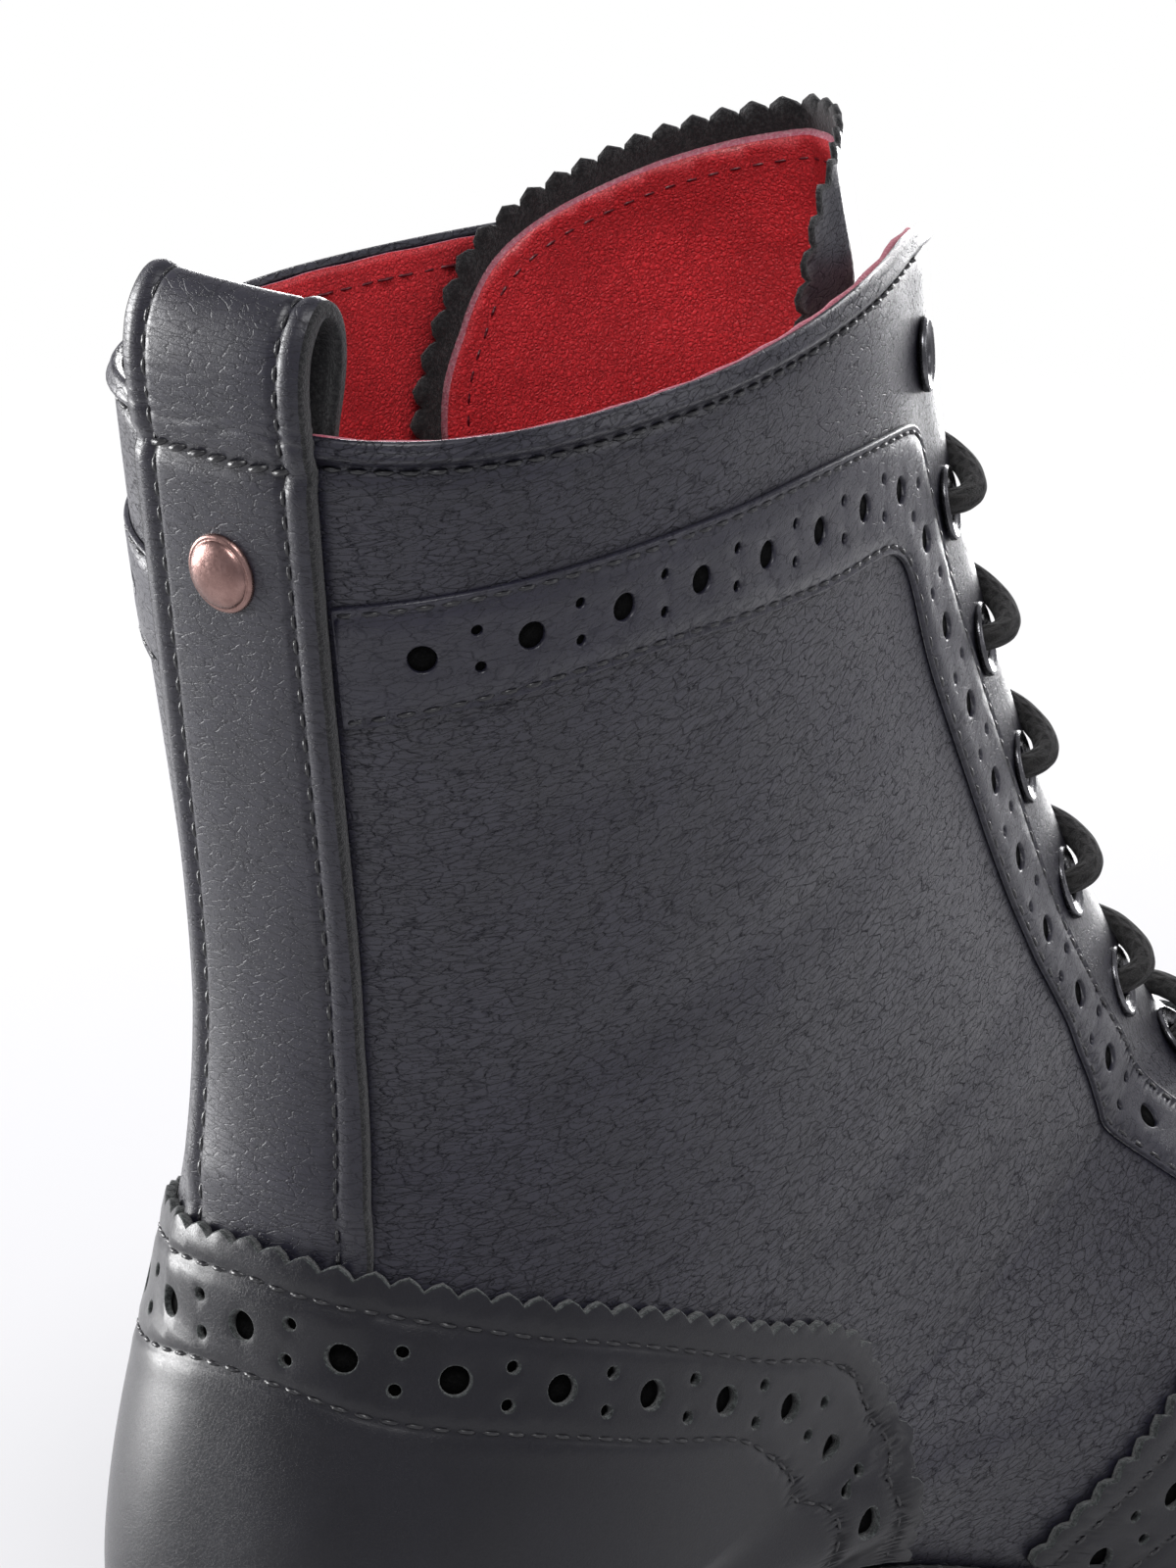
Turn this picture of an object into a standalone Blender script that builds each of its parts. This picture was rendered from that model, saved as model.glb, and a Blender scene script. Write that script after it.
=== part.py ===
"""Right shoe of a pair of ladies' black leather brogue ankle boots, standing empty on its sole.

Metres, +Z up, +X to the toe, -Y the outer side, the origin in the middle of the heel's bottom face.
The upper, and all that lies on it, comes from one surface over the last: a fan of plane sections that starts
level at the collar, tips forward through the instep and stands upright at the toe.
"""

import math

import bpy
import bmesh
import numpy as np

# Foot and last
LAST_LENGTH = 0.2625
BALL_WIDTH = 0.088
INSTEP_HEIGHT = 0.0688
TOE_HEIGHT = 0.030
HEEL_LIFT = 0.026
TOE_SPRING = 0.0085

# Shaft
SHAFT_RISE = 0.1535
SHAFT_DEPTH = 0.120
SHAFT_WIDTH = 0.0645

# Sole and heel
OUTSOLE = 0.005
WELT = 0.0035
WELT_EXTENSION = 0.0052
HEEL_EXTENSION = 0.0026
TOP_LIFT = 0.006
HEEL_LENGTH = 0.0605
HEEL_TAPER = 0.0022
INSOLE = 0.0025

# Upper, overlays and small pieces
WALL = 0.0022
OVERLAY = 0.0011
SEAT_GAP = 0.00045
COUNTER_GAP = 0.0007
SIDE_GAP = 0.0005
THROAT_GAP = 0.0124
FACING = 0.0104
FIRST_EYELET = 0.0155
EYELET_PITCH = 0.0206
EYELET_COUNT = 7
EYELET_FLANGE = 0.0092
EYELET_BORE = 0.0048
EYELET_BARREL = 0.0057
EYELET_HOLE = 0.0063
EYELET_RISE = 0.0011
LACE = 0.0032
STRAP_THICKNESS = 0.0019
LOOP_HEIGHT = 0.0148
LOOP_DEPTH = 0.0066
STUD_WIDTH = 0.0094
STUD_RISE = 0.0021
TONGUE_THICKNESS = 0.0019
TONGUE_RISE = 0.0165
TONGUE_WIDTH = 0.091
OVERLAY_FOOT = 0.97

HEEL_BACK = -0.0305
SHANK_START, SHANK_END, SPRING_START = 0.235, 0.60, 0.74

# Feather line: share of LAST_LENGTH, then outer side, inner side and axis as shares of BALL_WIDTH
OUTLINE = (
    (0.000, 0.000, 0.000, 0.000),
    (0.009, 0.115, 0.115, 0.000),
    (0.035, 0.216, 0.216, 0.000),
    (0.080, 0.288, 0.288, 0.000),
    (0.160, 0.334, 0.328, 0.000),
    (0.260, 0.350, 0.322, 0.000),
    (0.380, 0.384, 0.305, 0.003),
    (0.500, 0.446, 0.330, 0.011),
    (0.620, 0.500, 0.412, 0.023),
    (0.700, 0.508, 0.444, 0.032),
    (0.780, 0.474, 0.428, 0.039),
    (0.860, 0.394, 0.371, 0.043),
    (0.930, 0.281, 0.276, 0.045),
    (0.970, 0.184, 0.186, 0.045),
    (0.990, 0.106, 0.108, 0.045),
    (1.000, 0.000, 0.000, 0.045),
)

# Shaft sections, collar first. Back end: height by SHAFT_RISE, set forward by SHAFT_DEPTH. Front end: set back from
# the instep and above it, 1 at the collar. Half widths by SHAFT_WIDTH, place of the widest point, roundness
SHAFT_SECTIONS = (
    (1.000, 0.021, 1.000, 1.000, 0.488, 0.512, 0.38, 2.80, 1.50),
    (0.850, 0.042, 0.945, 0.798, 0.488, 0.504, 0.38, 2.70, 1.52),
    (0.687, 0.065, 0.791, 0.591, 0.488, 0.496, 0.38, 2.50, 1.56),
    (0.524, 0.080, 0.615, 0.411, 0.496, 0.496, 0.38, 2.30, 1.60),
    (0.362, 0.064, 0.440, 0.263, 0.504, 0.504, 0.37, 2.30, 1.65),
    (0.218, 0.021, 0.275, 0.150, 0.519, 0.519, 0.36, 2.50, 1.70),
    (0.101, -0.008, 0.132, 0.065, 0.527, 0.527, 0.35, 2.70, 1.75),
)

# Foot sections, heel first. Feather parameter, ridge by LAST_LENGTH, ridge height by INSTEP_HEIGHT and TOE_HEIGHT,
# half widths by BALL_WIDTH, place of the widest point, roundness of side and top, ridge's sideways place
FOOT_SECTIONS = (
    (0.000, 0.640, 1.000, 0.000, 0.386, 0.386, 0.34, 2.70, 1.80, 0.011),
    (0.160, 0.663, 0.916, 0.000, 0.392, 0.386, 0.33, 2.50, 1.80, 0.023),
    (0.280, 0.688, 0.840, 0.000, 0.409, 0.392, 0.32, 2.40, 1.85, 0.034),
    (0.380, 0.714, 0.736, 0.090, 0.438, 0.403, 0.31, 2.30, 1.90, 0.045),
    (0.470, 0.745, 0.566, 0.335, 0.466, 0.420, 0.31, 2.30, 1.95, 0.057),
    (0.560, 0.783, 0.338, 0.710, 0.489, 0.443, 0.31, 2.30, 2.00, 0.068),
    (0.650, 0.829, 0.112, 1.071, 0.500, 0.449, 0.32, 2.30, 2.10, 0.068),
    (0.740, 0.884, 0.000, 1.157, 0.443, 0.415, 0.33, 2.30, 2.20, 0.062),
    (0.820, 0.933, 0.000, 0.987, 0.352, 0.347, 0.35, 2.30, 2.30, 0.057),
    (0.890, 0.970, 0.000, 0.803, 0.239, 0.239, 0.37, 2.30, 2.30, 0.051),
    (0.950, 0.992, 0.000, 0.558, 0.119, 0.119, 0.40, 2.30, 2.20, 0.048),
    (0.985, 1.001, 0.000, 0.282, 0.034, 0.034, 0.42, 2.20, 2.10, 0.045),
    (1.000, 1.000, 0.000, 0.017, 0.000, 0.000, 0.45, 2.20, 2.00, 0.045),
)

UPPER_COLUMNS = 11
FOOT_START = len(SHAFT_SECTIONS)
LAST_ROW = FOOT_START + len(FOOT_SECTIONS) - 1
THROAT_BASE = 9.75
# Section above which nothing is laced, so that the tongue lies close to the quarters
TONGUE_FREE = 0.2
# Sections along the throat for one SHAFT_RISE
ROWS_DOWN_THROAT = 6.2
# Collar's front end by SHAFT_DEPTH from the heel's back
COLLAR_REACH = 1.021
OUTER, INNER = -1, 1

# Half of the throat, section number against share of THROAT_GAP
THROAT = ((0.0, 0.50), (3.0, 0.45), (6.0, 0.41), (8.2, 0.37), (9.2, 0.30))

# Counter's top and front edge: section number against how far round from the ridge (0) to the back or feather (1)
COUNTER_EDGE = (
    (4.07, 1.000), (4.09, 0.960), (4.12, 0.917), (4.24, 0.830), (4.43, 0.750), (4.68, 0.667), (5.09, 0.567),
    (5.60, 0.470), (6.05, 0.415), (6.86, 0.385), (8.58, 0.503), (9.82, 0.903), (10.02, 0.992),
)
# Brogued band on each quarter: edges by section number and share round, from the back strap to the vamp
BAND_TOP = (
    (0.86, 0.893), (0.76, 0.758), (0.72, 0.610), (0.72, 0.463), (0.77, 0.318), (0.90, 0.175), (1.18, 0.134),
    (1.94, 0.128), (2.55, 0.120), (3.54, 0.111), (4.97, 0.103), (6.77, 0.094), (8.20, 0.112), (9.20, 0.150), (9.88, 0.190),
)
BAND_LOW = (
    (1.44, 0.893), (1.31, 0.765), (1.25, 0.620), (1.28, 0.475), (1.36, 0.338), (1.42, 0.240), (1.66, 0.205),
    (2.11, 0.203), (2.70, 0.191), (3.42, 0.176), (4.51, 0.151), (5.97, 0.133), (7.75, 0.146), (9.05, 0.196), (9.92, 0.246),
)
# Vamp's back edge and wing cap's edge: share round against section number
VAMP_EDGE = ((0.00, 9.98), (0.15, 10.02), (0.30, 10.16), (0.463, 10.31), (0.662, 10.39), (0.903, 10.53), (1.00, 10.58))
CAP_EDGE = ((0.00, 11.90), (0.10, 12.55), (0.22, 13.05), (0.36, 13.05), (0.63, 12.60), (0.93, 11.95), (1.00, 11.75))
# Tongue's reach to the outer and the inner side by TONGUE_WIDTH, by section number
TONGUE_REACH = (
    (-1.0, 0.36, 0.57), (0.0, 0.37, 0.59), (2.0, 0.33, 0.50), (4.0, 0.29, 0.38), (6.5, 0.25, 0.28), (9.0, 0.18, 0.18),
    (10.2, 0.12, 0.12),
)
# Tongue's top edge: place across from the outer end (0) to the inner end (1) against height by TONGUE_RISE
TONGUE_TOP = (
    (0.0, -0.55), (0.03, 0.55), (0.09, 1.0), (0.24, 0.92), (0.42, 0.75), (0.62, 0.55), (0.80, 0.25), (0.92, -0.15),
    (1.0, -1.0),
)


def spline(knots, values):
    """Natural cubic spline through rows of values."""
    knots, values = np.asarray(knots, float), np.asarray(values, float)
    step = np.diff(knots)
    slope = np.diff(values, axis=0) / step.reshape((-1,) + (1,) * (values.ndim - 1))
    system, right = np.eye(len(knots)), np.zeros(values.shape)
    for i in range(1, len(knots) - 1):
        system[i, i - 1 : i + 2] = step[i - 1], 2 * (step[i - 1] + step[i]), step[i]
        right[i] = 6 * (slope[i] - slope[i - 1])
    bend = np.linalg.solve(system, right)

    def at(x):
        x = np.clip(np.asarray(x, float), knots[0], knots[-1])
        k = np.clip(np.searchsorted(knots, x, side="right") - 1, 0, len(knots) - 2)
        shape = x.shape + (1,) * (values.ndim - 1)
        width, after = step[k].reshape(shape), (x - knots[k]).reshape(shape)
        before = width - after
        return (
            (bend[k] * before**3 + bend[k + 1] * after**3) / (6 * width)
            + (values[k] / width - bend[k] * width / 6) * before
            + (values[k + 1] / width - bend[k + 1] * width / 6) * after
        )

    return at


def eased(t):
    t = np.clip(t, 0, 1)
    return t * t * (3 - 2 * t)


def line(table, column=1):
    """Reads a table row by its first column, straight between the rows."""
    rows = np.array(table)
    return lambda x: np.interp(x, rows[:, 0], rows[:, column])


OUTLINE_ROWS = np.array(OUTLINE)
OUTLINE_SPLINE = spline(np.arccos(1 - 2 * OUTLINE_ROWS[:, 0]) / math.pi, OUTLINE_ROWS[:, 1:] * BALL_WIDTH)


def feather(turn):
    """x, outer half, inner half and axis of the feather line; turn runs from the heel (0) to the toe (1)."""
    turn = np.asarray(turn, float)
    halves = OUTLINE_SPLINE(turn)
    inside = (turn > 1e-6) & (turn < 1 - 1e-6)
    x = HEEL_BACK + LAST_LENGTH * (1 - np.cos(math.pi * turn)) / 2
    return x, np.maximum(halves[..., 0], 0) * inside, np.maximum(halves[..., 1], 0) * inside, halves[..., 2]


def sole_height(x):
    """Underside of the outsole: level under the heel and the ball, with an arch between them and the toe spring."""
    along = (np.asarray(x, float) - HEEL_BACK) / LAST_LENGTH
    heel = 1 - eased((along - SHANK_START) / (SHANK_END - SHANK_START))
    spring = np.clip((along - SPRING_START) / (1 - SPRING_START), 0, None) ** 2
    return HEEL_LIFT * heel + TOE_SPRING * spring


def feather_height(x):
    return sole_height(x) + OUTSOLE + WELT


def section_rows():
    """Both tables in metres: back end, front end, halves, widest place, roundness and the ridge's sideways place."""
    instep_x = HEEL_BACK + FOOT_SECTIONS[0][1] * LAST_LENGTH
    instep_z = float(feather_height(instep_x)) + FOOT_SECTIONS[0][2] * INSTEP_HEIGHT
    seat = float(feather_height(HEEL_BACK))
    collar_x, collar_z = HEEL_BACK + COLLAR_REACH * SHAFT_DEPTH, seat + SHAFT_RISE
    rows = []
    for rise, forward, back, up, outer, inner, widest, side_round, front_round in SHAFT_SECTIONS:
        end_x, end_z = HEEL_BACK + forward * SHAFT_DEPTH, seat + rise * SHAFT_RISE
        top_x, top_z = instep_x + back * (collar_x - instep_x), instep_z + up * (collar_z - instep_z)
        halves = outer * SHAFT_WIDTH, inner * SHAFT_WIDTH
        rows.append((end_x, end_z, top_x, top_z, *halves, widest, side_round, front_round, 0.0))
    for turn, ridge, instep, toe, outer, inner, widest, side_round, front_round, sideways in FOOT_SECTIONS:
        end_x, top_x = float(feather(turn)[0]), HEEL_BACK + ridge * LAST_LENGTH
        top_z = float(feather_height(top_x)) + instep * INSTEP_HEIGHT + toe * TOE_HEIGHT
        halves = outer * BALL_WIDTH, inner * BALL_WIDTH
        row = (end_x, float(feather_height(end_x)), top_x, top_z, *halves, widest, side_round, front_round)
        rows.append((*row, sideways * BALL_WIDTH))
    return np.array(rows)


SECTION_SPLINE = spline(np.arange(LAST_ROW + 1), section_rows())
TURN_SPLINE = spline(np.arange(FOOT_START, LAST_ROW + 1), [row[0] for row in FOOT_SECTIONS])


def surface(row, u, side):
    """Point of the upper's outside. u runs from the ridge (0) round the side to the back or feather (1).

    Each half section is two quarters of a superellipse that meet at its widest point, and where the feather is wide
    the lower one turns into an upright side. Above the collar it goes straight on up, by one shaft width for each
    section number below 0.
    """
    row, u, side = np.broadcast_arrays(np.asarray(row, float), np.asarray(u, float), np.asarray(side, float))
    value = SECTION_SPLINE(np.clip(row, 0, LAST_ROW))
    end_x, end_z, top_x, top_z, outer, inner, widest, side_round, front_round, ridge = np.moveaxis(value, -1, 0)
    foot = row >= FOOT_START
    feather_x, outer_half, inner_half, axis = feather(np.where(foot, TURN_SPLINE(np.maximum(row, FOOT_START)), 0.0))
    low = np.where(side < 0, outer_half, inner_half) * foot
    end_x, end_z = np.where(foot, feather_x, end_x), np.where(foot, feather_height(feather_x), end_z)
    axis = np.where(foot, axis, 0.0)
    half = np.maximum(np.where(side < 0, outer, inner), 0)
    half = (half**8 + (1.025 * low) ** 8) ** 0.125
    length = np.hypot(top_x - end_x, top_z - end_z) + 1e-9
    front = u <= 0.5
    quarter = np.where(front, 2 * u, 2 * (1 - u)) * math.pi / 2
    reach = length * np.where(front, 1 - widest, widest)
    stretch = np.sqrt(np.clip(reach / np.maximum(half, 1e-6), 0.2, 5.0))
    angle = np.arctan2(stretch * np.sin(quarter), np.cos(quarter))
    power = np.where(front, front_round, side_round)
    radius = (np.abs(np.cos(angle)) ** power + np.abs(np.sin(angle)) ** power) ** (1 / power)
    along, across = np.cos(angle) / radius, np.sin(angle) / radius
    upright, height = eased(low / (0.8 * np.maximum(half, 1e-6))), 2 * (1 - u)
    low_share = widest * ((1 - upright) * (1 - along) + upright * height)
    low_across = (1 - upright) * across + upright * np.sin(np.clip(height, 0, 1) * math.pi / 2)
    share = np.where(front, widest + (1 - widest) * along, low_share)
    sideways = np.where(front, half * across, low + (half - low) * low_across)
    centre = axis + (ridge - axis) * share
    rise = np.maximum(-row, 0) * SHAFT_WIDTH
    x, z = end_x + (top_x - end_x) * share, end_z + (top_z - end_z) * share + rise
    return np.stack([x, centre + side * sideways, z], -1)


def normal(row, u, side):
    """Outward normal of the surface. Near the feather it is taken a little higher up, where the side stands upright.

    On the back line and on the ridge it is shared by both sides, and at the very toe it points straight ahead.
    """
    row, u, side = np.broadcast_arrays(np.asarray(row, float), np.asarray(u, float), np.asarray(side, float))
    seam = (u < 1e-3) | ((u > 0.999) & (row < FOOT_START))
    around = np.minimum(u, np.where(row >= FOOT_START, 0.88, 1.0))
    level = np.minimum(row, LAST_ROW - 0.02)
    step_up = np.where((level >= FOOT_START) & (level < FOOT_START + 2e-3), 0.0, 2e-3)

    def one_sided(side):
        du = surface(level, np.minimum(around + 2e-3, 1), side) - surface(level, np.maximum(around - 2e-3, 0), side)
        dv = surface(level + 2e-3, around, side) - surface(level - step_up, around, side)
        across = np.cross(dv, du) * side[..., None]
        return across / (np.linalg.norm(across, axis=-1, keepdims=True) + 1e-15)

    out = one_sided(side)
    out = np.where(seam[..., None], out + one_sided(-side), out)
    out = np.where((row > LAST_ROW - 1e-3)[..., None], np.array([1.0, 0, 0]), out)
    out[..., 2] *= np.where(row >= FOOT_START, eased((1 - u) / 0.35), 1.0)
    return out / (np.linalg.norm(out, axis=-1, keepdims=True) + 1e-15)


def lifted(row, u, side, height):
    return surface(row, u, side) + np.asarray(height, float)[..., None] * normal(row, u, side)


def throat_half(row):
    """Half of the gap between the facings, closing to nothing in a round end at the throat's base."""
    half = line(THROAT)(row) * THROAT_GAP
    return half * np.sqrt(np.clip(1 - (np.maximum(row - 8.9, 0) / (THROAT_BASE - 8.9)) ** 2, 0, 1))


def u_at_half(row, side, half):
    """How far round the section reaches this distance from the ridge's plane."""
    u = np.linspace(0, 0.5, 200)
    points = surface(row, u, side)
    return float(np.interp(half, np.abs(points[:, 1] - points[0, 1]), u))


def throat_edge(row, side):
    return u_at_half(row, side, float(throat_half(row))) if row < THROAT_BASE else 0.0


def u_past(row, side, start, distance):
    """How far round the section lies this distance along it from a start."""
    u = np.linspace(start, 0.98, 300)
    points = surface(row, u, side)
    run = np.concatenate([[0], np.cumsum(np.linalg.norm(np.diff(points, axis=0), axis=1))])
    return float(np.interp(distance, run, u))


def clear_scene():
    for obj in list(bpy.data.objects):
        bpy.data.objects.remove(obj, do_unlink=True)


def leather(name, colour, roughness, metallic=0.0):
    material = bpy.data.materials.new(name)
    material.use_nodes = True
    shader = material.node_tree.nodes["Principled BSDF"]
    shader.inputs["Base Color"].default_value = (*colour, 1)
    shader.inputs["Roughness"].default_value = roughness
    shader.inputs["Metallic"].default_value = metallic
    return material


def solid(name, points, faces, material, smooth=True):
    """One named object from points and faces, with faces that have collapsed dropped and normals facing out."""
    mesh = bpy.data.meshes.new(name)
    mesh.from_pydata([tuple(p) for p in np.asarray(points, float)], [], [tuple(map(int, f)) for f in faces])
    work = bmesh.new()
    work.from_mesh(mesh)
    bmesh.ops.remove_doubles(work, verts=work.verts, dist=2e-6)
    bmesh.ops.triangulate(work, faces=work.faces)
    bmesh.ops.recalc_face_normals(work, faces=work.faces)
    work.to_mesh(mesh)
    work.free()
    mesh.polygons.foreach_set("use_smooth", [smooth] * len(mesh.polygons))
    obj = bpy.data.objects.new(name, mesh)
    mesh.materials.append(material)
    bpy.context.scene.collection.objects.link(obj)
    return obj


def thick(outside, inside, quads):
    """Points and faces of a sheet closed into a solid: outer face, inner face and a wall along each free edge."""
    outside, inside = np.asarray(outside, float).reshape(-1, 3), np.asarray(inside, float).reshape(-1, 3)
    _, first, same = np.unique(np.round(outside * 5e5).astype(np.int64), axis=0, return_index=True, return_inverse=True)
    same = same.reshape(-1)
    counts = np.bincount(same)[:, None]
    merged = np.stack([np.bincount(same, weights=inside[:, k]) for k in range(3)], -1) / counts
    total = len(first)
    faces, edges = [], {}
    for quad in quads:
        ring = [int(same[v]) for v in quad]
        ring = [v for k, v in enumerate(ring) if v != ring[k - 1]]
        if len(set(ring)) < 3 or len(set(ring)) != len(ring):
            continue
        faces.append(ring)
        for a, b in zip(ring, ring[1:] + ring[:1]):
            edges[a, b] = True
    walls = [(b, a, a + total, b + total) for a, b in edges if (b, a) not in edges]
    back = [[v + total for v in reversed(ring)] for ring in faces]
    return np.concatenate([outside[first], merged]), faces + back + walls


def grid(rows, columns, start=0, flip=False):
    """Quads of a grid of points stored row by row."""
    i, j = np.meshgrid(np.arange(rows - 1), np.arange(columns - 1), indexing="ij")
    a = start + (i * columns + j).ravel()
    quads = np.stack([a, a + 1, a + columns + 1, a + columns], -1)
    return quads[:, ::-1] if flip else quads


def sheet(name, row, u, side, base, thickness, material):
    """A piece of leather laid over the upper, from grids of section number, share round and side."""
    outside = lifted(row, u, side, np.full(row.shape, base + thickness))
    inside = lifted(row, u, side, np.full(row.shape, base))
    return solid(name, *thick(outside, inside, grid(*row.shape)), material)


def upper_rows():
    """Section numbers of the upper's rows of faces, which the pieces laid over it share."""
    shaft = [0, 0.6, 1.3, 2, 2.7, 3.4, 4, 4.6, 5.2, 5.8, 6.4]
    throat = [7, 7.6, 8.2, 8.7, 9.1, 9.4, 9.65, THROAT_BASE]
    foot = [10.2, 10.7, 11.3, 11.9, 12.5, 13.1, 13.7, 14.3, 14.9, 15.5, 16, 16.5, 17, 17.5, 18.2]
    return np.array(shaft + throat + foot + [LAST_ROW])


def upper_columns(row, side):
    """Places round a section of the upper's lines of faces, from the back or feather to the throat or ridge."""
    return np.linspace(1, throat_edge(row, side), UPPER_COLUMNS + 1)


def build_upper(material):
    """The whole upper as one hollow wall, open at the collar, along the throat and underneath."""
    rows, columns = upper_rows(), UPPER_COLUMNS
    skirt = WELT - SEAT_GAP
    outside, inside, quads, start = [], [], [], 0
    for side in (OUTER, INNER):
        u = np.array([upper_columns(row, side) for row in rows])
        row = np.repeat(rows[:, None], columns + 1, axis=1)
        skin, lining = surface(row, u, side), lifted(row, u, side, np.full(row.shape, -WALL))
        down = np.array([0, 0, -skirt])
        skin = np.concatenate([skin[:, :1] + down, skin], 1)
        lining = np.concatenate([lining[:, :1] + down, lining], 1)
        faces = grid(len(rows), columns + 2, start, flip=side == OUTER)
        shaft_rows = np.arange(len(faces)) // (columns + 1) < np.searchsorted(rows, FOOT_START)
        under = np.arange(len(faces)) % (columns + 1) == 0
        quads += list(faces[~(shaft_rows & under)])
        outside.append(skin.reshape(-1, 3))
        inside.append(lining.reshape(-1, 3))
        start += skin.shape[0] * skin.shape[1]
    points, faces = thick(np.concatenate(outside), np.concatenate(inside), quads)
    return solid("upper", points, faces, material)


def eyelet_places():
    """Centre, normal, direction to the facing's edge and section number of each eyelet, from the collar down."""
    places = {}
    for side in (OUTER, INNER):
        rows = np.linspace(0, 9.6, 193)
        around = np.array([u_past(row, side, throat_edge(row, side), FACING) for row in rows])
        points = surface(rows, around, side)
        run = np.concatenate([[0], np.cumsum(np.linalg.norm(np.diff(points, axis=0), axis=1))])
        wanted = FIRST_EYELET + EYELET_PITCH * np.arange(EYELET_COUNT)
        row, u = np.interp(wanted, run, rows), np.interp(wanted, run, around)
        centre, out = surface(row, u, side), normal(row, u, side)
        edge = surface(row, np.array([throat_edge(r, side) for r in row]), side) - centre
        edge -= (edge * out).sum(-1, keepdims=True) * out
        edge /= np.linalg.norm(edge, axis=-1, keepdims=True)
        places[side] = centre, out, edge, row
    return places


def frame_of(out):
    out = np.asarray(out, float)
    side = np.cross(out, (0, 0, 1.0))
    side /= np.linalg.norm(side)
    return side, np.cross(out, side), out


def turned(profile, centre, out, count):
    """Points and faces of a closed ring whose profile (radius, height) goes round an axis."""
    a, b, c = frame_of(out)
    angle = np.arange(count) * 2 * math.pi / count
    ring = np.cos(angle)[:, None] * a + np.sin(angle)[:, None] * b
    profile = np.asarray(profile, float)
    points = centre + ring[:, None, :] * profile[None, :, :1] + c * profile[None, :, 1:]
    i, j = np.meshgrid(np.arange(count), np.arange(len(profile)), indexing="ij")
    n, m = len(profile), count
    nxt, up = (i + 1) % m, (j + 1) % n
    faces = np.stack([i * n + j, nxt * n + j, nxt * n + up, i * n + up], -1).reshape(-1, 4)
    return points.reshape(-1, 3), faces


def cap_turned(profile, centre, out, count):
    """As turned, for a profile that starts and ends on the axis."""
    points, faces = turned(profile, centre, out, count)
    n = len(profile)
    return points, [f for f in faces if not (f[0] % n == n - 1)]


def cut_eyelet_holes(upper, places):
    """Takes the hole of each eyelet out of the upper."""
    points, faces, start = [], [], 0
    count, radius = 10, EYELET_HOLE / 2
    for side in (OUTER, INNER):
        for centre, out in zip(places[side][0], places[side][1]):
            a, b, c = frame_of(out)
            angle = np.arange(count) * 2 * math.pi / count
            ring = centre + radius * (np.cos(angle)[:, None] * a + np.sin(angle)[:, None] * b)
            points += list(ring + 2.2 * WALL * c) + list(ring - 2.4 * WALL * c)
            k = np.arange(count)
            nxt = (k + 1) % count
            faces += [tuple(start + k), tuple(start + count + k[::-1])]
            faces += [tuple(f) for f in np.stack([k, k + count, nxt + count, nxt], -1) + start]
            start += 2 * count
    cutter = solid("eyelet_cutters", points, faces, upper.data.materials[0])
    cutter.hide_render = True
    cutter.display_type = "WIRE"
    cut = upper.modifiers.new("eyelet holes", "BOOLEAN")
    cut.operation, cut.solver, cut.object = "DIFFERENCE", "EXACT", cutter


def build_eyelets(places, material):
    base, top = SEAT_GAP, SEAT_GAP + EYELET_RISE
    bore, barrel, flange = EYELET_BORE / 2, EYELET_BARREL / 2, EYELET_FLANGE / 2
    low = -WALL - 0.2 * EYELET_RISE
    profile = ((bore, low), (bore * 1.06, 0.8 * top), (0.7 * flange, top), (flange, base), (barrel, base), (barrel, low))
    for side, word in ((OUTER, "outer"), (INNER, "inner")):
        for number, (centre, out) in enumerate(zip(places[side][0], places[side][1])):
            points, faces = turned(profile, centre, out, 10)
            solid(f"eyelet_{word}_{number + 1}", points, faces, material)


def smooth_path(points, per_span):
    """Catmull-Rom curve through the points, with end tangents from the first and last spans."""
    points = np.asarray(points, float)
    ends = np.concatenate([[2 * points[0] - points[1]], points, [2 * points[-1] - points[-2]]])
    t = (np.arange(per_span) / per_span)[None, :, None]
    p0, p1, p2, p3 = (ends[k : len(ends) - 3 + k][:, None, :] for k in range(4))
    curve = p1 + 0.5 * t * (p2 - p0 + t * (2 * p0 - 5 * p1 + 4 * p2 - p3 + t * (3 * (p1 - p2) + p3 - p0)))
    return np.concatenate([curve.reshape(-1, 3), points[-1:]])


def tube(path, radius, sides):
    """Points and faces of a round cord along a path, its section carried along without twist and its ends closed."""
    path = np.asarray(path, float)
    tangent = np.gradient(path, axis=0)
    tangent /= np.linalg.norm(tangent, axis=1, keepdims=True)
    across = np.cross(tangent[0], (0.3, 0.2, 1.0))
    rings = []
    angle = np.arange(sides) * 2 * math.pi / sides
    for point, forward in zip(path, tangent):
        across = across - (across @ forward) * forward
        across /= np.linalg.norm(across)
        other = np.cross(forward, across)
        rings.append(point + radius * (np.cos(angle)[:, None] * across + np.sin(angle)[:, None] * other))
    count = len(path)
    i, j = np.meshgrid(np.arange(count - 1), np.arange(sides), indexing="ij")
    nxt = (j + 1) % sides
    faces = np.stack([i * sides + j, i * sides + nxt, (i + 1) * sides + nxt, (i + 1) * sides + j], -1).reshape(-1, 4)
    caps = [tuple(range(sides))[::-1], tuple(range((count - 1) * sides, count * sides))]
    return np.concatenate(rings), [tuple(f) for f in faces] + caps


def edge_point(row, side, height, beyond=0.0):
    """Point at the facing's edge, lifted off its outside and moved on into the throat."""
    u = throat_edge(row, side)
    point = lifted(row, u, side, np.array(height))
    return point + np.array([0, -side * beyond, 0])


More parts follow.
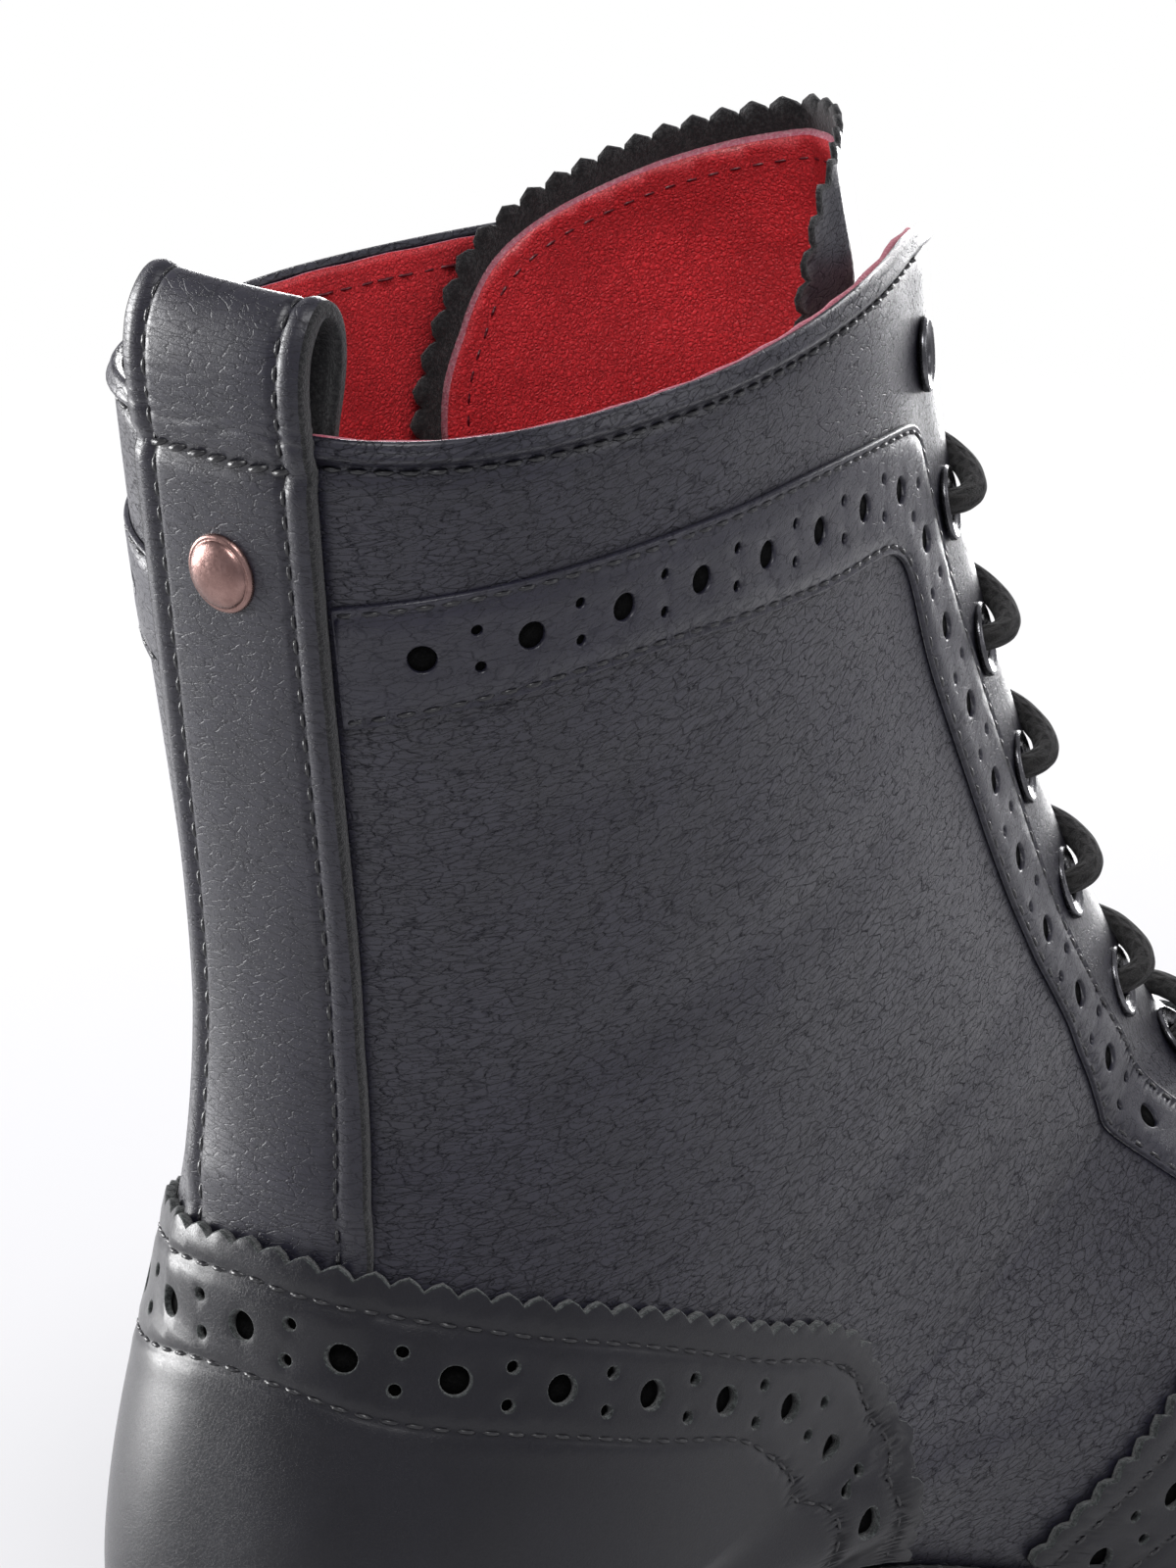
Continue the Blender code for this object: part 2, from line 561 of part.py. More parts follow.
def lace_path(places, side):
    """One strand from the bar at the lowest eyelets up to the second pair, where its end goes in behind the facing.

    At each eyelet it comes up through the hole, goes over the facing's edge, crosses the throat and passes behind
    the other facing to the next hole up.
    """
    radius = LACE / 2
    over = SEAT_GAP + EYELET_RISE + radius + SEAT_GAP
    under = -WALL - radius - 2.2 * SEAT_GAP
    last = EYELET_COUNT - 1
    centre, out, edge, row = places[side]
    bottom = centre[last] + under * out[last]
    other = places[-side][0][last] + under * places[-side][1][last]
    points = [0.5 * (bottom + other) + 0.1 * radius * out[last], edge_point(row[last], side, under - 0.4 * radius)]
    points.append(bottom + 0.30 * FACING * edge[last] - 0.2 * radius * out[last])
    for number in range(last, 0, -1):
        centre, out, edge, row = places[side]
        hole, away, toward = centre[number], out[number], edge[number]
        points.append(hole - (WALL + 0.55 * radius) * away + 0.10 * radius * toward)
        points.append(hole + 0.2 * WALL * away)
        points.append(hole + (over - 0.25 * radius) * away + 0.50 * radius * toward)
        points.append(hole + (over + 0.6 * radius) * away + 0.36 * FACING * toward)
        upper_row = places[-side][3][number - 1]
        near_row = row[number] + 0.22 * (upper_row - row[number])
        points.append(edge_point(near_row, side, 1.6 * radius + SEAT_GAP, 0.9 * radius))
        if number == 1:
            points.append(edge_point(near_row - 0.1, side, -WALL - 0.2 * radius, 2.1 * radius))
            break
        far_row = row[number] + 0.72 * (upper_row - row[number])
        far_centre, far_out, far_edge, _ = places[-side]
        points.append(edge_point(near_row - 0.08, side, 0.0, 2.7 * radius))
        points.append(edge_point(far_row + 0.06, -side, under - 0.3 * radius, 1.5 * radius))
        points.append(edge_point(far_row, -side, under - 1.25 * radius, -0.3 * radius))
        side = -side
        points.append(
            far_centre[number - 1] + (under - 0.75 * radius) * far_out[number - 1] + 0.45 * FACING * far_edge[number - 1]
        )
    return smooth_path(points, 2)


def build_lace(places, material):
    first = tube(lace_path(places, OUTER), LACE / 2, 5)
    second = tube(lace_path(places, INNER), LACE / 2, 5)
    lace = solid("lace", *first, material)
    other = solid("lace_other_strand", *second, material)
    other.hide_render = True
    other.display_type = "WIRE"
    join = lace.modifiers.new("both strands", "BOOLEAN")
    join.operation, join.solver, join.object = "UNION", "EXACT", other
    return lace


def build_counter(material):
    """Heel counter: one cup round the back, its top edge falling forward to a rounded corner on each side."""
    rows = np.array(COUNTER_EDGE)
    span = np.cumsum(np.r_[0, np.hypot(np.diff(rows[:, 0]) / 3, np.diff(rows[:, 1]) * 2)])
    edge = spline(span, rows)(np.linspace(0, span[-1], 400))
    top, front = rows[0, 0], rows[-1, 0]
    lattice = upper_rows()
    number = np.unique(np.concatenate([top + np.array([0, 0.03, 0.10, 0.22, 0.36]), lattice[lattice > top + 0.4], [front]]))
    number = number[number <= front]
    limit = np.interp(number, np.maximum.accumulate(edge[:, 0]), edge[:, 1])
    limit[0] = 1.0
    outside, inside, quads, start = [], [], [], 0
    for side in (OUTER, INNER):
        u = np.array([upper_columns(row, side) for row in number])
        lowest = np.where(number >= FOOT_START - 1e-9, OVERLAY_FOOT, 1.0)[:, None]
        u = np.minimum(np.maximum(u, limit[:, None]), lowest)
        row = np.repeat(number[:, None], u.shape[1], axis=1)
        outside.append(lifted(row, u, side, np.full(row.shape, COUNTER_GAP + OVERLAY)).reshape(-1, 3))
        inside.append(lifted(row, u, side, np.full(row.shape, COUNTER_GAP)).reshape(-1, 3))
        quads += list(grid(*row.shape, start, flip=side == OUTER))
        start += row.size
    points, faces = thick(np.concatenate(outside), np.concatenate(inside), quads)
    return solid("counter", points, faces, material)


def build_bands(material):
    """Brogued band on each quarter: from the back strap under the collar, round the corner and down the facing."""
    top, low = np.array(BAND_TOP), np.array(BAND_LOW)
    number = np.linspace(0, len(top) - 1, 2 * len(top) - 1)
    upper_edge, lower_edge = spline(np.arange(len(top)), top)(number), spline(np.arange(len(low)), low)(number)
    across = np.linspace(0, 1, 3)[None, :, None]
    both = upper_edge[:, None] * (1 - across) + lower_edge[:, None] * across
    for side, word in ((OUTER, "outer"), (INNER, "inner")):
        row, u = both[..., 0], both[..., 1]
        sheet(f"band_{word}", row, u, np.full(row.shape, side), SEAT_GAP, OVERLAY, material)


def build_front_piece(name, back_edge, front_edge, base, thickness, material):
    """A piece over the front of the foot, between two lines given as section number against share round."""
    lattice = upper_rows()
    number = lattice[lattice >= THROAT_BASE]
    number = np.concatenate([[number[0] - 1], number])
    outside, inside, quads, start = [], [], [], 0
    for side in (OUTER, INNER):
        u = np.minimum(upper_columns(LAST_ROW, side), OVERLAY_FOOT)
        row = np.clip(number[:, None], back_edge(u)[None, :], front_edge(u)[None, :])
        around = np.repeat(u[None, :], len(number), axis=0)
        outside.append(lifted(row, around, side, np.full(row.shape, base + thickness)).reshape(-1, 3))
        inside.append(lifted(row, around, side, np.full(row.shape, base)).reshape(-1, 3))
        quads += list(grid(*row.shape, start, flip=side == OUTER))
        start += row.size
    points, faces = thick(np.concatenate(outside), np.concatenate(inside), quads)
    return solid(name, points, faces, material)


def build_vamp_and_cap(material):
    vamp_line, cap_line = line(VAMP_EDGE), line(CAP_EDGE)
    build_front_piece("vamp", vamp_line, lambda u: cap_line(u) - 0.04, SEAT_GAP, OVERLAY, material)
    build_front_piece("wing_cap", cap_line, lambda u: 0 * u + LAST_ROW, SEAT_GAP, 1.5 * OVERLAY, material)


def strap_reach(row):
    return 0.898 if row < 0 else float(np.interp(row, (0, 3, 4.2), (0.898, 0.905, 0.893)))


def build_back_strap(material):
    """Strap up the back seam that stands up above the collar as a pull loop and ends inside the lining."""
    low = 3.98
    climb = [(row, SEAT_GAP) for row in np.linspace(low, 0, 11)]
    thickness = STRAP_THICKNESS
    collar = np.array(
        [(0.35, 0.10), (0.68, 0.05), (0.90, -0.18), (1.0, -0.50), (0.90, -0.84), (0.66, -1.0), (0.33, -0.93)]
    )
    columns = np.linspace(-1, 1, 5)
    middle = []
    for row, gap in climb:
        middle.append([(row, gap + thickness / 2)] * len(columns))
    for up, deep in collar:
        middle.append([(-up * LOOP_HEIGHT / SHAFT_WIDTH, SEAT_GAP + thickness / 2 + deep * LOOP_DEPTH)] * len(columns))
    for up in (0.0, -0.35, -0.7):
        middle.append([(-up * LOOP_HEIGHT / SHAFT_WIDTH, -WALL - SEAT_GAP - thickness / 2)] * len(columns))
    middle = np.array(middle)
    side = np.where(columns < 0, OUTER, INNER)
    points = []
    for section in middle:
        row = section[0, 0]
        reach = 1 - strap_reach(row)
        u = 1 - reach * np.abs(columns)
        base = surface(max(row, 0.0), u, side)
        out = normal(max(row, 0.0), u, side)
        out[:, 1] *= 0.35
        out /= np.linalg.norm(out, axis=1, keepdims=True)
        base[:, 2] += max(-row, 0.0) * SHAFT_WIDTH
        points.append(base + out * section[0, 1])
    points = np.array(points)
    along = np.gradient(points, axis=0)
    along /= np.linalg.norm(along, axis=-1, keepdims=True)
    across = np.gradient(points, axis=1)
    across /= np.linalg.norm(across, axis=-1, keepdims=True)
    out = np.cross(across, along)
    out /= np.linalg.norm(out, axis=-1, keepdims=True)
    if out[0, 2, 0] > 0:
        out = -out
    outside, inside = points + out * thickness / 2, points - out * thickness / 2
    return solid("back_strap", *thick(outside, inside, grid(len(points), len(columns))), material)


def build_stud(material):
    """Plain domed stud high on the back strap."""
    place = surface(0.74, 1.0, OUTER)
    out = normal(0.74, 1.0, OUTER)
    out[1] = 0.0
    out /= np.linalg.norm(out)
    seat = place + out * (SEAT_GAP + STRAP_THICKNESS + SEAT_GAP)
    half = STUD_WIDTH / 2
    profile = ((0, 0), (0.96 * half, 0), (half, 0.22 * STUD_RISE), (0.72 * half, 0.78 * STUD_RISE), (0, STUD_RISE))
    points, faces = cap_turned(profile, seat, out, 14)
    return solid("stud", points, faces, material)


def tongue_section(row):
    """The tongue's outside across one section, as points against distance round it from the middle.

    It follows the upper's lining at a distance that leaves room for the lace behind the facings, and is rounded off
    across the throat.
    """
    level = max(row, 0.0)
    u = np.linspace(0, 0.8, 240)
    middle = float(SECTION_SPLINE(level)[6])
    front, back = surface(level, 0.0, OUTER), surface(level, 1.0, OUTER)
    direction = front - back
    direction[1] = 0
    length = np.linalg.norm(direction)
    direction /= length
    lift = np.cross(direction, (0, 1, 0))
    origin = back + direction * length * middle
    origin[1] = surface(level, 0.5, OUTER)[1] / 2 + surface(level, 0.5, INNER)[1] / 2
    room = LACE + 4.2 * SEAT_GAP
    laced = float(eased((row - TONGUE_FREE) / 1.1))
    closeness = 0.9 * room * (1 - eased((row - 9.15) / 0.7)) * laced + 0.1 * room
    gap = WALL + SIDE_GAP + closeness * (1 - eased((u - 0.16) / 0.26))
    polar = []
    for side in (OUTER, INNER):
        inner = lifted(np.full(u.shape, level), u, side, -gap) - origin
        ahead, across = inner @ direction, inner[:, 1]
        polar.append(np.stack([np.arctan2(across, ahead), np.hypot(ahead, across)], -1))
    polar = np.concatenate(polar)
    angle = np.linspace(-1.9, 1.9, 153)
    near = np.abs(angle[:, None] - polar[None, :, 0]) < 0.04
    radius = np.where(near, polar[None, :, 1], 1e3).min(axis=1)
    good = radius < 1
    radius = np.interp(angle, angle[good], radius[good])
    edge = lifted(level, throat_edge(min(level, THROAT_BASE - 0.01), OUTER), OUTER, np.array(-WALL / 2)) - origin
    limit = (edge @ direction) - 0.5 * WALL - LACE * laced * (1 - 0.8 * float(eased((row - 9.15) / 0.7)))
    radius = (radius**-9.0 + limit**-9.0) ** (-1 / 9.0)
    for _ in range(3):
        radius = np.convolve(np.pad(radius, 3, mode="edge"), np.ones(7) / 7, mode="valid")
    points = origin + (np.cos(angle) * radius)[:, None] * direction + np.sin(angle)[:, None] * radius[:, None] * (0, 1, 0)
    out = np.cos(angle)[:, None] * direction + np.sin(angle)[:, None] * np.array((0, 1.0, 0))
    run = np.concatenate([[0], np.cumsum(np.linalg.norm(np.diff(points, axis=0), axis=1))])
    run -= np.interp(0.0, angle, run)
    return run, points, out, lift


def build_tongue(material):
    """Tongue from under the vamp to above the collar, turned a little to the inner side."""
    reach = np.array(TONGUE_REACH)
    top = np.array(TONGUE_TOP)
    columns = 17
    across = np.linspace(0, 1, columns)
    climb = np.interp(across, top[:, 0], top[:, 1]) * TONGUE_RISE
    levels = np.array([10.3, 9.8, 9.2, 8.6, 7.8, 7.0, 6.0, 5.0, 4.0, 3.0, 2.0, 1.0, 0.0])
    sections = {}
    outside, inside = [], []
    for level in list(levels) + [0.0, 0.0]:
        if level not in sections:
            sections[level] = tongue_section(level)
    column_rows = []
    for k, share in enumerate(across):
        lowest_height = climb[k]
        drop = max(0.0, -lowest_height) / SHAFT_RISE * ROWS_DOWN_THROAT
        column = list(levels[levels > drop + 0.12])
        while len(column) < len(levels):
            column.append(drop)
        rows = np.array(column[: len(levels)])
        steps = np.linspace(0, 1, 3)[1:]
        column_rows.append((rows, max(0.0, lowest_height) * steps, drop))
    for i in range(len(levels) + 2):
        out_line, in_line = [], []
        for k, share in enumerate(across):
            rows, ups, drop = column_rows[k]
            row = rows[i] if i < len(levels) else drop
            up = 0.0 if i < len(levels) else ups[i - len(levels)]
            if row not in sections:
                sections[row] = tongue_section(row)
            run, points, out, lift = sections[row]
            left = -np.interp(row, reach[:, 0], reach[:, 1]) * TONGUE_WIDTH
            right = np.interp(row, reach[:, 0], reach[:, 2]) * TONGUE_WIDTH
            place = left + (right - left) * share
            point = np.array([np.interp(place, run, points[:, c]) for c in range(3)])
            away = np.array([np.interp(place, run, out[:, c]) for c in range(3)])
            point = point + np.array([0, 0, up])
            out_line.append(point)
            in_line.append(point - TONGUE_THICKNESS * away)
        outside.append(out_line)
        inside.append(in_line)
    outside, inside = np.array(outside), np.array(inside)
    return solid("tongue", *thick(outside, inside, grid(*outside.shape[:2])), material)


def feather_ring(offset, count=56):
    """Closed plan line round the foot at a distance outside the feather line, from the heel's back by the outer side."""
    turn = np.linspace(0, 1, count // 2 + 1)
    x, outer, inner, axis = feather(turn)
    plan = np.concatenate([np.stack([x, axis - outer], -1), np.stack([x, axis + inner], -1)[-2:0:-1]])
    along = np.roll(plan, -1, axis=0) - np.roll(plan, 1, axis=0)
    out = np.stack([-along[:, 1], along[:, 0]], -1)
    out /= np.linalg.norm(out, axis=1, keepdims=True)
    centre = plan.mean(axis=0)
    if ((plan - centre) * out).sum() < 0:
        out = -out
    distance = offset(x) if callable(offset) else np.full(len(turn), offset)
    distance = np.concatenate([distance, distance[-2:0:-1]])
    return plan + out * distance[:, None]


def extension(x):
    """How far the sole reaches beyond the feather line: narrow round the heel and waist, wider at the forefoot."""
    along = (x - HEEL_BACK) / LAST_LENGTH
    return HEEL_EXTENSION + (WELT_EXTENSION - HEEL_EXTENSION) * eased((along - 0.40) / 0.25)


def plate(name, ring, under, over, material):
    """A plate inside a closed plan line, between two heights that depend on x. Rows run across from side to side."""
    half = len(ring) // 2
    outer = ring[: half + 1]
    inner = np.concatenate([ring[:1], ring[:half - 1:-1]])
    across = np.linspace(0, 1, 4)[None, :, None]
    flat = outer[:, None] * (1 - across) + inner[:, None] * across
    top = np.concatenate([flat, over(flat[..., :1])], -1)
    low = np.concatenate([flat, under(flat[..., :1])], -1)
    return solid(name, *thick(top, low, grid(*flat.shape[:2])), material)


def build_soles(sole_material, welt_material, insole_material):
    plate("outsole", feather_ring(extension), sole_height, lambda x: sole_height(x) + OUTSOLE, sole_material)
    inner_gap = WALL + SIDE_GAP + 0.6 * WALL
    plate(
        "insole", feather_ring(-inner_gap), lambda x: sole_height(x) + OUTSOLE + SEAT_GAP,
        lambda x: sole_height(x) + OUTSOLE + SEAT_GAP + INSOLE, insole_material,
    )
    inside, outside = feather_ring(SIDE_GAP), feather_ring(lambda x: extension(x) - 0.1 * WELT)
    count = len(inside)
    base, top = OUTSOLE + SEAT_GAP, OUTSOLE + WELT - 1.6 * SEAT_GAP
    rings = []
    for ring, height in ((inside, base), (outside, base), (outside, top), (inside, top)):
        rings.append(np.concatenate([ring, sole_height(ring[:, :1]) + height], -1))
    points = np.concatenate(rings)
    k = np.arange(count)
    nxt = (k + 1) % count
    faces = [
        (a * count + p, a * count + q, b * count + q, b * count + p)
        for a, b in ((0, 1), (1, 2), (2, 3), (3, 0)) for p, q in zip(k, nxt)
    ]
    solid("welt", points, faces, welt_material, smooth=False)


def heel_plan(inset):
    """Plan of the heel: the sole's line round the back, closed by a slightly hollow breast."""
    ring = feather_ring(lambda x: extension(x) - inset, 96)
    front = HEEL_BACK + HEEL_LENGTH - inset
    half = len(ring) // 2
    outer, inner = ring[: half + 1], np.concatenate([ring[:1], ring[:half - 1:-1]])
    share = np.linspace(0, 1, 9) ** 0.75
    sides = []
    for edge in (outer, inner):
        run = np.interp(front, edge[:, 0], np.arange(len(edge)))
        sides.append(np.stack([np.interp(run * share, np.arange(len(edge)), edge[:, c]) for c in range(2)], -1))
    left, right = sides
    t = np.linspace(0, 1, 6)[1:-1, None]
    breast = left[-1] + (right[-1] - left[-1]) * t
    breast[:, 0] -= 0.0022 * np.sin(math.pi * t[:, 0])
    return np.concatenate([left, breast, right[:0:-1]])


def prism(name, low, low_z, high, high_z, material):
    """Solid between two plans with as many points, with both ends flat."""
    count = len(low)
    points = np.concatenate([np.c_[low, np.full(count, low_z)], np.c_[high, np.full(count, high_z)]])
    k = np.arange(count)
    nxt = (k + 1) % count
    faces = [tuple(k), tuple(count + k)] + [tuple(f) for f in np.stack([k, nxt, nxt + count, k + count], -1)]
    return solid(name, points, faces, material, smooth=False)


def build_heel(stack_material, lift_material):
    taper = HEEL_TAPER / (HEEL_LIFT - SEAT_GAP)
    gap = SEAT_GAP
    prism("top_lift", heel_plan(HEEL_TAPER), 0.0, heel_plan(HEEL_TAPER - taper * TOP_LIFT), TOP_LIFT, lift_material)
    stack_low = heel_plan(HEEL_TAPER - taper * (TOP_LIFT + gap))
    prism("heel_stack", stack_low, TOP_LIFT + gap, heel_plan(0.0), HEEL_LIFT - gap, stack_material)


def main():
    clear_scene()
    black = leather("black leather", (0.022, 0.021, 0.027), 0.45)
    gloss = leather("overlay leather", (0.016, 0.016, 0.020), 0.38)
    tongue_leather = leather("tongue leather", (0.35, 0.02, 0.025), 0.55)
    sole = leather("sole", (0.030, 0.028, 0.028), 0.6)
    welt = leather("welt", (0.020, 0.019, 0.020), 0.55)
    stack = leather("stacked heel", (0.035, 0.030, 0.028), 0.5)
    rubber = leather("top lift rubber", (0.018, 0.018, 0.018), 0.75)
    insole = leather("insole", (0.30, 0.02, 0.025), 0.6)
    gunmetal = leather("dark metal", (0.10, 0.10, 0.11), 0.3, 1.0)
    copper = leather("copper", (0.50, 0.30, 0.26), 0.3, 1.0)
    cord = leather("lace cord", (0.02, 0.02, 0.02), 0.85)
    places = eyelet_places()
    upper = build_upper(black)
    cut_eyelet_holes(upper, places)
    build_eyelets(places, gunmetal)
    build_lace(places, cord)
    build_counter(gloss)
    build_bands(gloss)
    build_vamp_and_cap(gloss)
    build_back_strap(black)
    build_stud(copper)
    build_tongue(tongue_leather)
    build_soles(sole, welt, insole)
    build_heel(stack, rubber)


main()
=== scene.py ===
"""Looks of the right shoe of a pair of ladies' black leather brogue ankle boots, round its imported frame.

Every leather piece is a sheet over the last's surface, the same surface as the solids have: a section
number runs from the collar to the toe, and a share runs round each section. Holes, pinked edges and
stitches are worked out in metres along that surface. The camera stands behind and to the outer side, as
in the photograph.
"""

import math

import bmesh
import bpy
import numpy as np
from mathutils import Matrix, Vector, geometry


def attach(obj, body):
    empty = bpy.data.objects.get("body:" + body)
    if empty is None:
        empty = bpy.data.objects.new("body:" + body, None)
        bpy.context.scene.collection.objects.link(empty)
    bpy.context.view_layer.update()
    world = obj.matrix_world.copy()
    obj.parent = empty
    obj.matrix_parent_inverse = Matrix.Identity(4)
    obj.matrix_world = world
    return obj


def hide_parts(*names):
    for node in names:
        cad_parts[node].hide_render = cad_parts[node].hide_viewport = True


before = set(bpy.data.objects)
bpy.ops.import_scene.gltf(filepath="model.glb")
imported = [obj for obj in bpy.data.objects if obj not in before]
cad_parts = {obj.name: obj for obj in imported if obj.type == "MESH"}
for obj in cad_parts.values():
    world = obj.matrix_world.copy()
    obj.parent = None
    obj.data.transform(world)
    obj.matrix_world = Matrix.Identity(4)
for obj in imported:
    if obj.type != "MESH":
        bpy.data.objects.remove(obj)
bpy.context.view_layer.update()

# Foot and last
LAST_LENGTH = 0.2625
BALL_WIDTH = 0.088
INSTEP_HEIGHT = 0.0688
TOE_HEIGHT = 0.030
HEEL_LIFT = 0.026
TOE_SPRING = 0.0085

# Shaft
SHAFT_RISE = 0.1535
SHAFT_DEPTH = 0.120
SHAFT_WIDTH = 0.0645

# Sole and heel
OUTSOLE = 0.005
WELT = 0.0035
WELT_EXTENSION = 0.0052
HEEL_EXTENSION = 0.0026
TOP_LIFT = 0.006
HEEL_LENGTH = 0.0605
HEEL_TAPER = 0.0022
INSOLE = 0.0025

# Upper, overlays and small pieces
WALL = 0.0022
OVERLAY = 0.0011
SEAT_GAP = 0.00045
COUNTER_GAP = 0.0007
SIDE_GAP = 0.0005
THROAT_GAP = 0.0124
FACING = 0.0104
FIRST_EYELET = 0.0155
EYELET_PITCH = 0.0206
EYELET_COUNT = 7
EYELET_FLANGE = 0.0092
EYELET_BORE = 0.0048
EYELET_BARREL = 0.0057
EYELET_HOLE = 0.0063
EYELET_RISE = 0.0011
LACE = 0.0032
LACE_SMOOTHING = 110
STRAP_THICKNESS = 0.0019
LOOP_HEIGHT = 0.0148
LOOP_DEPTH = 0.0066
STUD_WIDTH = 0.0094
STUD_RISE = 0.0021
TONGUE_RISE = 0.0165
TONGUE_WIDTH = 0.091
OVERLAY_FOOT = 0.97
# Sections by which the vamp reaches on under the cap
VAMP_UNDER_CAP = 0.25

HEEL_BACK = -0.0305
SHANK_START, SHANK_END, SPRING_START = 0.235, 0.60, 0.74

# Feather line: share of LAST_LENGTH, then outer side, inner side and axis as shares of BALL_WIDTH
OUTLINE = (
    (0.000, 0.000, 0.000, 0.000),
    (0.009, 0.115, 0.115, 0.000),
    (0.035, 0.216, 0.216, 0.000),
    (0.080, 0.288, 0.288, 0.000),
    (0.160, 0.334, 0.328, 0.000),
    (0.260, 0.350, 0.322, 0.000),
    (0.380, 0.384, 0.305, 0.003),
    (0.500, 0.446, 0.330, 0.011),
    (0.620, 0.500, 0.412, 0.023),
    (0.700, 0.508, 0.444, 0.032),
    (0.780, 0.474, 0.428, 0.039),
    (0.860, 0.394, 0.371, 0.043),
    (0.930, 0.281, 0.276, 0.045),
    (0.970, 0.184, 0.186, 0.045),
    (0.990, 0.106, 0.108, 0.045),
    (1.000, 0.000, 0.000, 0.045),
)

# Shaft sections, collar first. Back end: height by SHAFT_RISE, set forward by SHAFT_DEPTH. Front end: set
# back from the instep and above it, 1 at the collar. Half widths by SHAFT_WIDTH, place of the widest point,
# roundness of back and front
SHAFT_SECTIONS = (
    (1.000, 0.021, 1.000, 1.000, 0.488, 0.512, 0.38, 2.80, 1.50),
    (0.850, 0.042, 0.945, 0.798, 0.488, 0.504, 0.38, 2.70, 1.52),
    (0.687, 0.065, 0.791, 0.591, 0.488, 0.496, 0.38, 2.50, 1.56),
    (0.524, 0.080, 0.615, 0.411, 0.496, 0.496, 0.38, 2.30, 1.60),
    (0.362, 0.064, 0.440, 0.263, 0.504, 0.504, 0.37, 2.30, 1.65),
    (0.218, 0.021, 0.275, 0.150, 0.519, 0.519, 0.36, 2.50, 1.70),
    (0.101, -0.008, 0.132, 0.065, 0.527, 0.527, 0.35, 2.70, 1.75),
)

# Foot sections, heel first. Feather parameter, ridge by LAST_LENGTH, ridge height by INSTEP_HEIGHT and
# TOE_HEIGHT, half widths by BALL_WIDTH, place of the widest point, roundness of side and top, ridge's
# sideways place
FOOT_SECTIONS = (
    (0.000, 0.640, 1.000, 0.000, 0.386, 0.386, 0.34, 2.70, 1.80, 0.011),
    (0.160, 0.663, 0.916, 0.000, 0.392, 0.386, 0.33, 2.50, 1.80, 0.023),
    (0.280, 0.688, 0.840, 0.000, 0.409, 0.392, 0.32, 2.40, 1.85, 0.034),
    (0.380, 0.714, 0.736, 0.090, 0.438, 0.403, 0.31, 2.30, 1.90, 0.045),
    (0.470, 0.745, 0.566, 0.335, 0.466, 0.420, 0.31, 2.30, 1.95, 0.057),
    (0.560, 0.783, 0.338, 0.710, 0.489, 0.443, 0.31, 2.30, 2.00, 0.068),
    (0.650, 0.829, 0.112, 1.071, 0.500, 0.449, 0.32, 2.30, 2.10, 0.068),
    (0.740, 0.884, 0.000, 1.157, 0.443, 0.415, 0.33, 2.30, 2.20, 0.062),
    (0.820, 0.933, 0.000, 0.987, 0.352, 0.347, 0.35, 2.30, 2.30, 0.057),
    (0.890, 0.970, 0.000, 0.803, 0.239, 0.239, 0.37, 2.30, 2.30, 0.051),
    (0.950, 0.992, 0.000, 0.558, 0.119, 0.119, 0.40, 2.30, 2.20, 0.048),
    (0.985, 1.001, 0.000, 0.282, 0.034, 0.034, 0.42, 2.20, 2.10, 0.045),
    (1.000, 1.000, 0.000, 0.017, 0.000, 0.000, 0.45, 2.20, 2.00, 0.045),
)

FOOT_START = len(SHAFT_SECTIONS)
LAST_ROW = FOOT_START + len(FOOT_SECTIONS) - 1
THROAT_BASE = 9.75
# Section where the throat's round end starts, and the last one that eyelets are sought down to
THROAT_ROUND, EYELET_LIMIT = 8.9, 9.6
# Section where the lace ends behind the facings, and over how many sections the tongue closes up below it
LACE_END, LACE_FADE = 9.15, 0.7
# Section above which nothing is laced, so that the tongue lies close to the quarters
TONGUE_FREE = 0.2
# Collar's front end by SHAFT_DEPTH from the heel's back
COLLAR_REACH = 1.021
OUTER, INNER = -1, 1

# Half of the throat, section number against share of THROAT_GAP
THROAT = ((0.0, 0.50), (3.0, 0.45), (6.0, 0.41), (8.2, 0.37), (9.2, 0.30))

# Counter's top and front edge: section number against share round, from the ridge (0) to the back or
# feather (1)
COUNTER_EDGE = (
    (4.07, 1.000), (4.09, 0.960), (4.12, 0.917), (4.24, 0.830), (4.43, 0.750), (4.68, 0.667), (5.09, 0.567),
    (5.60, 0.470), (6.05, 0.415), (6.86, 0.385), (8.58, 0.503), (9.82, 0.903), (10.02, 0.992),
)
# Brogued band on each quarter: edges by section number and share round, from the back strap to the vamp
BAND_TOP = (
    (0.86, 0.893), (0.76, 0.758), (0.72, 0.610), (0.72, 0.463), (0.77, 0.318), (0.90, 0.175), (1.18, 0.134),
    (1.94, 0.128), (2.55, 0.120), (3.54, 0.111), (4.97, 0.103), (6.77, 0.094), (8.20, 0.112), (9.20, 0.150),
    (9.88, 0.190),
)
BAND_LOW = (
    (1.44, 0.893), (1.31, 0.765), (1.25, 0.620), (1.28, 0.475), (1.36, 0.338), (1.42, 0.240), (1.66, 0.205),
    (2.11, 0.203), (2.70, 0.191), (3.42, 0.176), (4.51, 0.151), (5.97, 0.133), (7.75, 0.146), (9.05, 0.196),
    (9.92, 0.246),
)
# Vamp's back edge and wing cap's edge: share round against section number
VAMP_EDGE = (
    (0.00, 9.98), (0.15, 10.02), (0.30, 10.16), (0.463, 10.31), (0.662, 10.39), (0.903, 10.53), (1.00, 10.58),
)
CAP_EDGE = (
    (0.00, 11.90), (0.10, 12.55), (0.22, 13.05), (0.36, 13.05), (0.63, 12.60), (0.93, 11.95), (1.00, 11.75),
)
